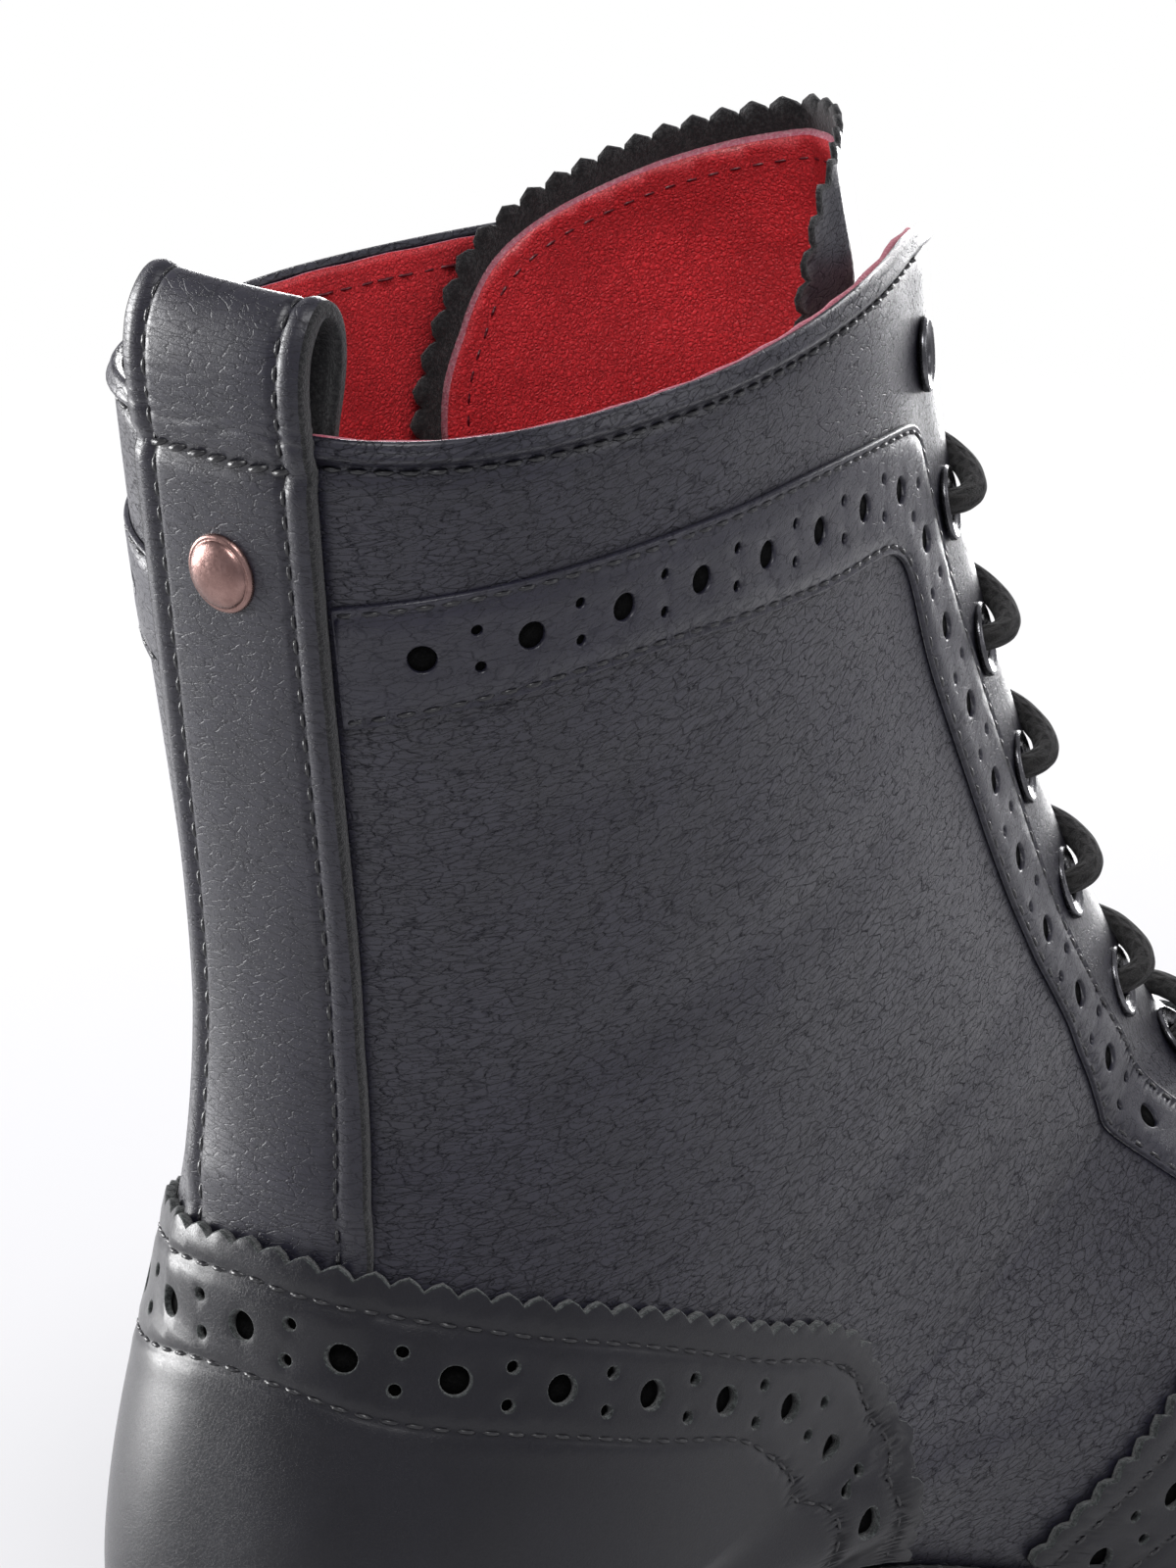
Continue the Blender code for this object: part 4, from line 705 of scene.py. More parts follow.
class Finish:
    """One material: its node tree, its shader and the few moves that every finish here uses."""

    def __init__(
        self, name, colour, roughness, metallic=0.0, coat=0.0, coat_roughness=0.2, sheen=0.0, specular=0.5
    ):
        self.material = bpy.data.materials.new(name)
        self.material.use_nodes = True
        self.tree = self.material.node_tree
        self.shader = self.tree.nodes["Principled BSDF"]
        values = {
            "Base Color": (*colour, 1), "Roughness": roughness, "Metallic": metallic, "Coat Weight": coat,
            "Coat Roughness": coat_roughness, "Sheen Weight": sheen, "Specular IOR Level": specular,
        }
        for socket, value in values.items():
            self.shader.inputs[socket].default_value = value

    def node(self, kind, settings=None, inputs=None, output=0):
        """Adds a node with its settings, and its inputs as values or wires."""
        node = self.tree.nodes.new(kind)
        for key, value in (settings or {}).items():
            setattr(node, key, value)
        for key, value in (inputs or {}).items():
            if isinstance(value, Wire):
                self.tree.links.new(value.socket, node.inputs[key])
            else:
                node.inputs[key].default_value = value
        return Wire(self, node.outputs[output])

    def math(self, operation, *values):
        return self.node("ShaderNodeMath", {"operation": operation}, dict(enumerate(values)))

    def parts(self, vector, axes):
        """The wanted coordinates of a vector, each as a value."""
        split = self.node("ShaderNodeSeparateXYZ", None, {"Vector": vector}).socket.node
        return (Wire(self, split.outputs[axis]) for axis in axes)

    def place(self, stretch=(1, 1, 1), turn=(0, 0, 0), source="Object"):
        """Coordinates on the piece, turned, then drawn out along each axis."""
        start = self.node("ShaderNodeTexCoord", output=source)
        inputs = {"Vector": start, "Scale": stretch, "Rotation": turn}
        return self.node("ShaderNodeMapping", {"vector_type": "TEXTURE"}, inputs)

    def noise(self, place, size, detail=3.0, roughness=0.55):
        inputs = {"Vector": place, "Scale": 1 / size, "Detail": detail, "Roughness": roughness}
        return self.node("ShaderNodeTexNoise", None, inputs)

    def warped(self, place, size, amount):
        """Coordinates pushed about by noise, so that a regular pattern loses its lines."""
        inputs = {"Vector": place, "Scale": 1 / size, "Detail": 2.0}
        push = self.node("ShaderNodeTexNoise", None, inputs, "Color")
        centred = self.node("ShaderNodeVectorMath", {"operation": "SUBTRACT"}, {0: push, 1: (0.5, 0.5, 0.5)})
        scaled = self.node("ShaderNodeVectorMath", {"operation": "SCALE"}, {0: centred, "Scale": amount})
        return self.node("ShaderNodeVectorMath", {"operation": "ADD"}, {0: place, 1: scaled})

    def cells(self, place, size, feature="DISTANCE_TO_EDGE"):
        settings = {"feature": feature}
        return self.node("ShaderNodeTexVoronoi", settings, {"Vector": place, "Scale": 1 / size}, "Distance")

    def ramp(self, value, low, high, start=0.0, end=1.0):
        """Smooth step of a value from one end to the other."""
        settings = {"interpolation_type": "SMOOTHSTEP"}
        inputs = {"Value": value, "From Min": low, "From Max": high, "To Min": start, "To Max": end}
        return self.node("ShaderNodeMapRange", settings, inputs)

    def blend(self, share, first, second):
        """Colour between two colours."""
        inputs = {0: share, 6: first if isinstance(first, Wire) else (*first, 1)}
        inputs[7] = second if isinstance(second, Wire) else (*second, 1)
        return self.node("ShaderNodeMix", {"data_type": "RGBA"}, inputs, 2)

    def set(self, socket, wire):
        self.tree.links.new(wire.socket, self.shader.inputs[socket])

    def bump(self, height, distance, strength=1.0):
        inputs = {"Height": height, "Distance": distance, "Strength": strength}
        self.set("Normal", self.node("ShaderNodeBump", None, inputs))


def crease_lines(finish, place, cell, soft):
    """Long cells and wavy lines: each is 1 on the leather and falls to 0 along its thin lines."""
    cells = finish.ramp(finish.cells(finish.warped(place, 2.6 * cell, 1.5 * cell), cell), 0.0, soft)
    wave = finish.noise(place, 0.62 * cell, 3.0, 0.5) - 0.5
    return cells * 0.5 + finish.ramp(wave.math("ABSOLUTE"), 0.0, 0.034) * 0.5


def grained_leather(
    name, colour, roughness, cell, depth, long=(1, 1, 1), turn=(0, 0, 0), shine=0.8, wrinkle=0.0, soft=0.07
):
    """Leather: shiny between thin dull creases, which run round the shaft and turn upright at the facing; the
    creases are also painted darker in the base colour, as painted shade.
    """
    finish = Finish(name, colour, roughness, coat=shine, coat_roughness=roughness, specular=0.22)
    plain = finish.place()
    slow = finish.noise(plain, 0.009, 3.0)
    whole = crease_lines(finish, finish.place(long, turn), cell, soft)
    if long[2] != long[0]:
        ahead, up = finish.parts(plain, "XZ")
        beside_facing = finish.ramp(ahead + up * FACING_LEAN, *FACING_CREASES)
        upright = crease_lines(finish, finish.place((1, 1, 3.0), (0, -0.42, 0)), 0.8 * cell, soft)
        whole = whole * (1 - beside_facing) + upright * beside_facing
    pores = finish.noise(plain, 0.0003, 2.0, 0.6)
    finish.bump(whole * (slow * 0.8 + 0.5) * wrinkle + pores * 0.30 + slow * 0.6, depth)
    lines = (1 - whole) * wrinkle
    polish = (1 - lines * 1.3).math("MAXIMUM", 0.0) * shine
    finish.set("Coat Weight", polish * (pores * 0.5 + 0.75))
    finish.set("Roughness", lines * 0.3 + slow * 0.16 + (roughness - 0.08))
    # Crease lines darken the base colour to a third: painted shade in the creases. The paler tint over it is
    # slow random tone.
    deep, pale = tuple(0.35 * c for c in colour), tuple(1.3 * c for c in colour)
    tint = finish.blend(finish.ramp(slow, 0.35, 0.7), colour, pale)
    finish.set("Base Color", finish.blend(lines, tint, deep))
    return finish.material


def raw_edge(name, colour, pale, sheen=0.3, specular=0.2):
    """Cut edge or flesh side of leather: matt, short fibres with paler specks."""
    finish = Finish(name, colour, 0.95, sheen=sheen, specular=specular)
    fibres = finish.noise(finish.place(), 0.00045, 4.0, 0.7)
    finish.bump(fibres, 0.0004)
    finish.set("Base Color", finish.blend(finish.ramp(fibres, 0.42, 0.72), colour, pale))
    return finish.material


def thread_finish(name, colour):
    """Waxed thread: glossy, with its twist as slanting ridges."""
    finish = Finish(name, colour, 0.38, coat=0.3)
    inputs = {"Vector": finish.place(), "Scale": 700.0}
    twist = finish.node("ShaderNodeTexWave", {"bands_direction": "DIAGONAL"}, inputs)
    finish.bump(twist, 0.00006)
    return finish.material


def metal_finish(name, colour, roughness, wear):
    """Plated metal with faint scuffs that dull it."""
    finish = Finish(name, colour, roughness, metallic=1.0)
    scuffs = finish.noise(finish.place(), 0.0006, 4.0, 0.65)
    finish.set("Roughness", finish.ramp(scuffs, 0.3, 0.75, roughness, roughness + 0.2))
    worn_off = finish.ramp(finish.noise(finish.place(), 0.002), 0.4, 0.7)
    finish.set("Base Color", finish.blend(worn_off, colour, wear))
    finish.bump(scuffs, 0.00004)
    return finish.material


def woven_cord(name, colour, strands=7, pitch=0.95):
    """Round braid: two sets of strands that cross on the slant, worked out from round and along."""
    finish = Finish(name, colour, 0.85, sheen=0.2, specular=0.25)
    across, along = finish.parts(finish.place(source="UV"), "XY")
    round_it, on = across * (2 * math.pi * strands), along * (2 * math.pi / pitch)
    weave = (round_it + on).math("SINE").math("MAXIMUM", (round_it - on).math("SINE"))
    fuzz = finish.noise(finish.place(), 0.00022, 4.0, 0.7)
    finish.bump(weave * 0.5 + fuzz * 1.2, 0.00035)
    pale = tuple(3.5 * c for c in colour)
    finish.set("Base Color", finish.blend(finish.ramp(weave * 0.35 + fuzz, 0.55, 1.0), colour, pale))
    return finish.material


def layered_finish(name, colour, roughness, layer):
    """Heel leather in thin horizontal layers, seen as fine lines on the side."""
    finish = Finish(name, colour, roughness, coat=0.15)
    lines = finish.node(
        "ShaderNodeTexWave", {"bands_direction": "Z"},
        {"Vector": finish.place(), "Scale": 1 / layer / 20, "Distortion": 0.6, "Detail": 2.0},
    )
    grain = finish.noise(finish.place((1, 1, 6)), 0.001, 3.0)
    finish.bump(lines * 0.5 + grain * 0.4, 0.0002)
    finish.set("Base Color", finish.blend(lines * 0.6 + grain * 0.4, tuple(0.5 * c for c in colour), colour))
    finish.set("Roughness", finish.ramp(grain, 0.3, 0.7, roughness - 0.08, roughness + 0.1))
    return finish.material


def rubber_finish(name, colour, roughness):
    """Moulded sole: matt with a fine tooth and dusty specks."""
    finish = Finish(name, colour, roughness)
    tooth = finish.noise(finish.place(), 0.0005, 4.0, 0.6)
    finish.bump(tooth, 0.00012)
    finish.set("Roughness", finish.ramp(tooth, 0.3, 0.7, roughness - 0.1, roughness + 0.12))
    dust = finish.ramp(finish.noise(finish.place(), 0.004), 0.4, 0.8)
    finish.set("Base Color", finish.blend(dust, colour, tuple(1.8 * c for c in colour)))
    return finish.material


# Meshes


def piece(name, points, faces, materials, indices=None, node=(), uv=None):
    """One shown piece on the frame's body, from points and from faces of any number of corners."""
    mesh = bpy.data.meshes.new(name)
    points = np.asarray(points, np.float32)
    sizes = np.array([len(face) for face in faces])
    loops = np.concatenate([np.asarray(face) for face in faces])
    mesh.vertices.add(len(points))
    mesh.vertices.foreach_set("co", points.ravel())
    mesh.loops.add(len(loops))
    mesh.loops.foreach_set("vertex_index", loops.astype(np.int32))
    mesh.polygons.add(len(sizes))
    mesh.polygons.foreach_set("loop_start", np.concatenate([[0], np.cumsum(sizes)[:-1]]).astype(np.int32))
    mesh.polygons.foreach_set("use_smooth", np.full(len(sizes), True))
    if uv is not None:
        layer = mesh.uv_layers.new(name="UVMap")
        layer.data.foreach_set("uv", np.asarray(uv, np.float32)[loops].ravel())
    for material in materials:
        mesh.materials.append(material)
    if indices is not None:
        mesh.polygons.foreach_set("material_index", np.asarray(indices, np.int32))
    mesh.update(calc_edges=True)
    mesh.validate()
    obj = bpy.data.objects.new(name, mesh)
    bpy.context.scene.collection.objects.link(obj)
    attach(obj, "root")
    if node:
        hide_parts(*([node] if isinstance(node, str) else node))
    return obj


def faced_out(obj, merge=None):
    """Turns a closed piece's faces outward, once points within a given distance are made one."""
    work = bmesh.new()
    work.from_mesh(obj.data)
    if merge:
        bmesh.ops.remove_doubles(work, verts=work.verts, dist=merge)
    bmesh.ops.recalc_face_normals(work, faces=work.faces)
    work.to_mesh(obj.data)
    work.free()


def unit(vectors):
    return vectors / (np.linalg.norm(vectors, axis=-1, keepdims=True) + 1e-15)


def welded(points, normals, faces):
    """The same sheet with points that coincide made one, and faces that collapse dropped."""
    cells = np.round(points * 2e5).astype(np.int64)
    _, first, same = np.unique(cells, axis=0, return_index=True, return_inverse=True)
    faces = same.reshape(-1)[faces]
    whole = np.all([faces[:, k] != faces[:, k - 1] for k in range(faces.shape[1])], axis=0)
    return points[first], normals[first], faces[whole]


def shell(points, normals, faces, thickness, rim):
    """A sheet made solid: its face, the rim's rings out and down from each free edge, and its underside.

    Returns points, faces and, for each face, 0 on the face side, 1 on the rim and 2 underneath.
    """
    points, normals, faces = welded(points, normals, faces)
    count = len(points)
    edges = np.concatenate([np.stack([faces[:, k - 1], faces[:, k]], -1) for k in range(faces.shape[1])])
    free = edges[~np.isin(edges[:, 0] * count + edges[:, 1], edges[:, 1] * count + edges[:, 0])]
    out = np.zeros_like(points)
    for end in (0, 1):
        along = unit(points[free[:, 1]] - points[free[:, 0]])
        np.add.at(out, free[:, end], unit(np.cross(along, normals[free[:, end]])))
    edge = np.unique(free)
    out = unit(out[edge])
    number = np.zeros(count, int)
    number[edge] = np.arange(len(edge))
    rings = [points[edge] + out * far - normals[edge] * down for far, down in rim]
    under = points - normals * thickness
    under[edge] = points[edge] + out * rim[-1][0] - normals[edge] * thickness
    a, b = free.T
    starts = [count + k * len(edge) for k in range(len(rim))]
    layers = [(a, b)] + [(start + number[a], start + number[b]) for start in starts]
    base = count + len(rim) * len(edge)
    layers.append((base + a, base + b))
    walls = [np.stack([q, p, p2, q2], -1) for (p, q), (p2, q2) in zip(layers, layers[1:])]
    listed = list(faces) + list(np.concatenate(walls)) + list(faces[:, ::-1] + base)
    kinds = np.r_[np.zeros(len(faces), int), np.ones(sum(map(len, walls)), int), np.full(len(faces), 2)]
    return np.concatenate([points, *rings, under]), listed, kinds


def grid(rows, columns, flip=False):
    """Quads of a grid of points stored row by row."""
    i, j = np.meshgrid(np.arange(rows - 1), np.arange(columns - 1), indexing="ij")
    a = (i * columns + j).ravel()
    quads = np.stack([a, a + 1, a + columns + 1, a + columns], -1)
    return quads[:, ::-1] if flip else quads


def ring_surface(rings):
    """Points and quads of closed rings joined one to the next, and the last to the first."""
    rings = np.asarray(rings)
    layers, count = rings.shape[:2]
    i, j = np.meshgrid(np.arange(layers), np.arange(count), indexing="ij")
    up, nxt = (i + 1) % layers, (j + 1) % count
    faces = np.stack([i * count + j, i * count + nxt, up * count + nxt, up * count + j], -1).reshape(-1, 4)
    return rings.reshape(-1, 3), faces


def facing_out(points, faces):
    """The faces turned round if, as a closed surface, they enclose a negative volume."""
    volume = 0.0
    for k in range(1, faces.shape[1] - 1):
        a, b, c = points[faces[:, 0]], points[faces[:, k]], points[faces[:, k + 1]]
        volume += (a * np.cross(b, c)).sum()
    return faces if volume > 0 else faces[:, ::-1]


# Patterns: places on the upper as section number and a sideways place


def around(kind, place):
    """Share round and side of a sideways place, counted from the back seam, the ridge, or on one side."""
    place = np.asarray(place, float)
    if kind == "back":
        return 1 - np.abs(place), np.where(place < 0, OUTER, INNER)
    if kind == "front":
        return np.abs(place), np.where(place < 0, OUTER, INNER)
    return place, np.full(place.shape, kind)


def worn(row, u, side):
    """Height that wear and the facing's spring add: each crease is a bell across and along its line."""
    row, u, side = np.broadcast_arrays(np.asarray(row, float), u, side)
    height = np.zeros(row.shape)
    for crease_side, at_row, at_share, slope, half_width, reach, depth in SOFT_CREASES:
        across = (row - at_row - slope * (u - at_share)) / half_width
        trough = -depth * np.exp(-(across**2) - ((u - at_share) / reach) ** 2) * (1 - 0.5 * across**2)
        height += np.where((side == crease_side) | (crease_side == 0), trough, 0.0)
    spring = 1 - eased((u - 0.055) / 0.075)
    return height + FACING_SPRING * spring * (1 - eased((row - 6.5) / 2.5))


def clear_of_feather(kind, spots, margin=0.006):
    """Which spots keep off the bottom edge and the toe's tip."""
    u, _ = around(kind, spots[..., 1])
    return (spots[..., 0] < FOOT_START) | ((u < OVERLAY_FOOT - margin) & (spots[..., 0] < LAST_ROW - 0.1))


def laid(kind, spots, height=0.0):
    """Points and outward normals of pattern spots, at a height over the upper's outside."""
    u, side = around(kind, spots[..., 1])
    out = normal(spots[..., 0], u, side)
    return surface(spots[..., 0], u, side) + (height + worn(spots[..., 0], u, side))[..., None] * out, out


def frames(kind, spots):
    """Point, normal, and metres of surface for one section number and for one unit of sideways place."""
    here, out = laid(kind, spots)
    step = 1e-3
    forward = np.where(spots[..., :1] < LAST_ROW - 0.01, step, -step)
    by_row = (laid(kind, spots + forward * [1, 0])[0] - here) / forward
    sideways = step * np.array([0, 1])
    by_place = (laid(kind, spots + sideways)[0] - laid(kind, spots - sideways)[0]) / (2 * step)
    return here, out, by_row, by_place


def moved(kind, spots, shift):
    """Pattern spots moved by small vectors in metres, laid along the surface."""
    _, _, by_row, by_place = frames(kind, spots)
    a, b, c = (by_row**2).sum(-1), (by_row * by_place).sum(-1), (by_place**2).sum(-1)
    p, q = (by_row * shift).sum(-1), (by_place * shift).sum(-1)
    det = a * c - b * b + 1e-18
    return spots + np.stack([(c * p - b * q) / det, (a * q - b * p) / det], -1)


def evenly(kind, spots, spacing, offset=0.0):
    """A pattern line in equal steps along the surface, starting a given way in."""
    fine = np.linspace(0, len(spots) - 1, 24 * len(spots))
    curve = spline(np.arange(len(spots)), np.asarray(spots, float))(fine)
    points = laid(kind, curve)[0]
    run = run_along(points)
    wanted = np.arange(offset, run[-1], spacing)
    return read_at(wanted, run, curve)


def beside(kind, spots, distance):
    """A pattern line moved sideways over the surface: positive is to its right, seen from outside."""
    here, out = laid(kind, spots)
    along = unit(np.gradient(here, axis=0))
    return moved(kind, spots, np.cross(along, out) * np.asarray(distance)[..., None])


def tooth_rise(count):
    """How far each point of a pinked line stands out, four points to a tooth."""
    return np.array([0.0, 0.62, 1.0, 0.62])[np.arange(count) % 4]


def pinked(kind, spots):
    """A line cut with pinking shears: teeth that stand out to its left."""
    line_spots = evenly(kind, spots, PINKING / 4)
    return beside(kind, line_spots, -tooth_rise(len(line_spots)) * PINKING_DEPTH)


def punched(kind, spots, pitch=HOLE_PITCH, start=0.0085):
    """Round holes along a line: large ones, and between each two a pair of small ones across the line."""
    fine = evenly(kind, spots, pitch / 2, start)
    fine = fine[clear_of_feather(kind, fine, 0.035)]
    here, out = laid(kind, fine)
    along = unit(np.gradient(here, axis=0))
    across = np.cross(along, out)
    holes = []
    for k in range(len(fine) - 1):
        if k % 2 == 0:
            holes.append((fine[k], BIG_HOLE / 2))
        else:
            aside = across[k] * [[PAIR_WIDTH / 2], [-PAIR_WIDTH / 2]]
            holes += [(spot, SMALL_HOLE / 2) for spot in moved(kind, np.repeat(fine[k : k + 1], 2, 0), aside)]
    return holes


def hole_rings(kind, holes):
    """The pattern outline of each round hole."""
    rings = []
    for centre, radius in holes:
        count = 20 if radius > 0.001 else 12
        angle = np.arange(count) * 2 * math.pi / count
        _, out, by_row, _ = frames(kind, centre[None])
        first = unit(by_row)
        second = np.cross(out, first)
        shift = radius * (np.cos(angle)[:, None] * first + np.sin(angle)[:, None] * second)
        rings.append(moved(kind, np.repeat(centre[None], count, 0), shift))
    return rings


def inside(polygon, spots):
    """Whether each spot lies inside a polygon, by counting the edges that a ray crosses."""
    a, b = polygon, np.roll(polygon, -1, axis=0)
    result = np.zeros(len(spots), bool)
    for start in range(0, len(spots), 4000):
        x, y = spots[start : start + 4000, None, 0], spots[start : start + 4000, None, 1]
        crosses = (a[:, 1] > y) != (b[:, 1] > y)
        at = a[:, 0] + (y - a[:, 1]) * (b[:, 0] - a[:, 0]) / (b[:, 1] - a[:, 1] + 1e-30)
        result[start : start + 4000] = (crosses & (x < at)).sum(1) % 2 == 1
    return result


def nearest(points, marks):
    """Distance from each point to the nearest mark."""
    if not len(marks):
        return np.full(len(points), 1.0)
    found = []
    for start in range(0, len(points), 2000):
        block = points[start : start + 2000]
        square = (block**2).sum(1)[:, None] + (marks**2).sum(1) - 2 * block @ marks.T
        found.append(np.sqrt(np.maximum(square.min(1), 0)))
    return np.concatenate(found)


def triangulated(spots, edges):
    """Flat points and triangles between them that keep the given edges."""
    made = geometry.delaunay_2d_cdt([Vector(s) for s in spots], edges, [], 0, 1e-7)
    return np.array([tuple(v) for v in made[0]]), np.array(made[2])


def cut_pattern(kind, outline, holes, seams, spacing):
    """Spots and triangles of a flat pattern with round holes, and points along and beside its seams."""
    rings = hole_rings(kind, holes)
    scale = np.linalg.norm(np.abs(np.stack(frames(kind, outline)[2:])).mean(1), axis=-1)
    low, high = outline.min(0), outline.max(0)
    rows = np.arange(low[0], high[0], spacing / scale[0])
    places = np.arange(low[1], high[1], spacing / scale[1])
    lattice = np.stack(np.meshgrid(rows, places, indexing="ij"), -1)
    lattice[1::2, :, 1] += 0.5 * spacing / scale[1]
    lattice = lattice.reshape(-1, 2)
    along = [evenly(kind, seam, 0.0009) for seam in seams]
    rails = [beside(kind, seam, far * GROOVE_WIDTH) for seam in along for far in (-1.5, 0.0, 1.5)]
    fixed = np.concatenate([outline, *rings]) * scale
    rail_spots = np.concatenate(rails) if rails else np.zeros((0, 2))
    if len(rail_spots):
        rail_spots = rail_spots[inside(outline, rail_spots) & (nearest(rail_spots * scale, fixed) > 0.0004)]
    taken = np.concatenate([fixed, rail_spots * scale])
    lattice = lattice[inside(outline, lattice)]
    lattice = lattice[nearest(lattice * scale, taken) > 0.55 * spacing]
    for ring in rings:
        lattice = lattice[~inside(ring, lattice)]
    spots = np.concatenate([outline, *rings, rail_spots, lattice])
    starts = np.cumsum([0, len(outline)] + [len(ring) for ring in rings])
    edges = []
    for a, b in zip(starts, starts[1:]):
        edges += [(int(a + k), int(a + (k + 1) % (b - a))) for k in range(b - a)]
    flat, triangles = triangulated(spots * scale, edges)
    spots = flat / scale
    middle = spots[triangles].mean(1)
    keep = inside(outline, middle)
    for ring in rings:
        keep &= ~inside(ring, middle)
    return spots, triangles[keep]


def seam_relief(points, kind, seams):
    """How far the leather is drawn in along its seams, and swells a little beside them."""
    if not seams:
        return np.zeros(len(points))
    marks = np.concatenate([laid(kind, evenly(kind, seam, 0.0004))[0] for seam in seams])
    away = nearest(points, marks)
    swell = SWELL * GROOVE_DEPTH * bell(away - SWELL_PLACE, SWELL_WIDTH)
    return swell - GROOVE_DEPTH * bell(away, GROOVE_WIDTH)


def overlay(
    name, kind, outline, holes, seams, base, thickness, materials, rim=CUT_EDGE, raised=None, spacing=0.0016
):
    """A cut piece of leather over the upper, punched, drawn in along its seams, with a floor in each punch.

    It stands for the frame's node of the same name without its last word. Its materials are the leather's,
    the cut edge's and that of the floors, which are near-black painted shade inside the punches. Returns the
    stitches of its seams.
    """
    spots, triangles = cut_pattern(kind, outline, holes, seams, spacing)
    flat, out = laid(kind, spots)
    lift = raised(spots) if raised else 0.0
    points = flat + out * (base + thickness + seam_relief(flat, kind, seams) + lift)[:, None]
    points, faces, kinds = shell(points, out, facing(points, triangles, out), thickness, rim)
    listed, kinds, joined, start = list(faces), list(np.minimum(kinds, 1)), [points], len(points)
    # A near-black floor disc in each punch: painted shade inside the hole.
    for centre, radius in holes:
        ring = hole_rings(kind, [(centre, 1.06 * radius)])[0]
        lift = raised(centre[None]) if raised else 0.0
        low, high = (laid(kind, ring, base + lift + level)[0] for level in (-FLOOR_DEPTH, FLOOR_HEIGHT))
        joined += [low, high]
        listed += list(grid_round(2, len(ring)) + start)
        listed += [np.arange(len(ring))[::-1] + start, np.arange(len(ring)) + start + len(ring)]
        kinds += [2] * (len(ring) + 2)
        start += 2 * len(ring)
    node = name.removesuffix("_leather")
    piece(name, np.concatenate(joined), listed, materials, kinds, node)
    return [seam_stitches(kind, seam, base + thickness, raised) for seam in seams]


def stitch_row(points, outs, pitch=STITCH_PITCH, length=STITCH_LENGTH, thickness=STITCH_THICKNESS, slant=0.0):
    """Stitches along a line: small six-sided bars with thin ends that sink in."""
    run = run_along(points)
    middle = np.arange(pitch / 2, run[-1] - pitch / 4, pitch)
    centre = read_at(middle, run, points)
    out = unit(read_at(middle, run, outs))
    along = unit(read_at(middle + pitch / 2, run, points) - read_at(middle - pitch / 2, run, points))
    across = unit(np.cross(out, along))
    along = unit(along + slant * across)
    across = unit(np.cross(out, along))
    share = np.array([-1.0, -0.86, -0.45, 0.0, 0.45, 0.86, 1.0])
    width = np.array([0.15, 0.62, 0.95, 1.0, 0.95, 0.62, 0.15])
    sink = -0.75 * np.abs(share) ** 3
    angle = np.arange(6) * math.pi / 3
    local = np.stack(
        [
            np.repeat(share[:, None] * length / 2, 6, 1),
            width[:, None] * np.cos(angle) * thickness / 2,
            width[:, None] * np.sin(angle) * thickness / 2 + sink[:, None] * thickness,
        ], -1,
    ).reshape(-1, 3)
    turned = sum(local[None, :, k, None] * way[:, None] for k, way in enumerate((along, across, out)))
    all_points = centre[:, None] + turned
    quads = grid_round(len(share), 6)
    caps = np.array([[5, 4, 3, 2, 1, 0], list(range(len(local) - 6, len(local)))])
    shift = np.arange(len(centre))[:, None, None] * len(local)
    quads, caps = (quads[None] + shift).reshape(-1, 4), (caps[None] + shift).reshape(-1, 6)
    return all_points.reshape(-1, 3), quads, caps


def grid_round(rings, count):
    """Quads of open rings joined one to the next."""
    i, j = np.meshgrid(np.arange(rings - 1), np.arange(count), indexing="ij")
    low, high, after = i * count, (i + 1) * count, (j + 1) % count
    return np.stack([low + j, low + after, high + after, high + j], -1).reshape(-1, 4)


def stitching(name, rows, material):
    """One piece that holds several rows of stitches."""
    points, faces, start = [], [], 0
    for row_points, quads, caps in rows:
        faces += list(quads + start) + list(caps + start)
        points.append(row_points)
        start += len(row_points)
    return piece(name, np.concatenate(points), faces, [material])


def seam_stitches(kind, seam, height, raised=None):
    spots = evenly(kind, seam, 0.0005)
    spots = spots[clear_of_feather(kind, spots)]
    sunk = height - 0.45 * GROOVE_DEPTH + (raised(spots) if raised else 0.0)
    return stitch_row(*laid(kind, spots, sunk))


# Upper


def both_sides(table, kind):
    """One line over both sides: the outer side's table backwards, then the inner side's forwards."""
    rows = np.array(table)
    place = 1 - rows[:, 1] if kind == "back" else rows[:, 1]
    outer, inner = np.stack([rows[:, 0], -place], -1), np.stack([rows[:, 0], place], -1)
    return np.concatenate([outer[::-1], inner[1:]])


def throat_edges(rows, side):
    """Share round of the facing's edge, taken back in a round corner under the collar."""
    sampled = np.linspace(0, THROAT_BASE - 0.01, 90)
    edge = np.interp(rows, sampled, [throat_edge(r, side) for r in sampled])
    edge = np.where(rows >= THROAT_BASE - 0.01, 0.0, edge)
    down = np.minimum(rows * COLLAR_ROW / CORNER_DEPTH, 1)
    back = CORNER_BACK * (1 - np.sqrt(1 - (1 - down) ** 2))
    past = [u_past(r, side, e, b) if b > 1e-5 else e for r, e, b in zip(rows, edge, back)]
    return np.array(past, float)


def upper_grid(side, rows, columns):
    """Section numbers and shares round of a grid from the back or feather to the facing's edge or ridge."""
    edge = throat_edges(rows, side)
    u = 1 + (edge[:, None] - 1) * np.linspace(0, 1, columns)[None, :]
    return dropped(rows[:, None], u), u


def dropped(row, u):
    """Section numbers taken down towards the collar's front corner."""
    start = throat_edge(0.0, OUTER)
    near = np.clip(1 - (u - start) / CORNER_REACH, 0, 1) ** 2
    return row + CORNER_DROP / COLLAR_ROW * near * (1 - eased(row / 0.9))


def facing(points, triangles, out):
    """Triangles turned so that each faces the way its points' normals do."""
    a, b, c = (points[triangles[:, k]] for k in range(3))
    wrong = (np.cross(b - a, c - a) * out[triangles].sum(1)).sum(-1) < 0
    return np.where(wrong[:, None], triangles[:, ::-1], triangles)


def without_holes(points, faces, places, radius):
    """Faces whose middle is clear of the eyelets' holes."""
    centres = np.concatenate([places[side][0] for side in (OUTER, INNER)])
    return faces[nearest(points[faces].mean(1), centres) > radius]


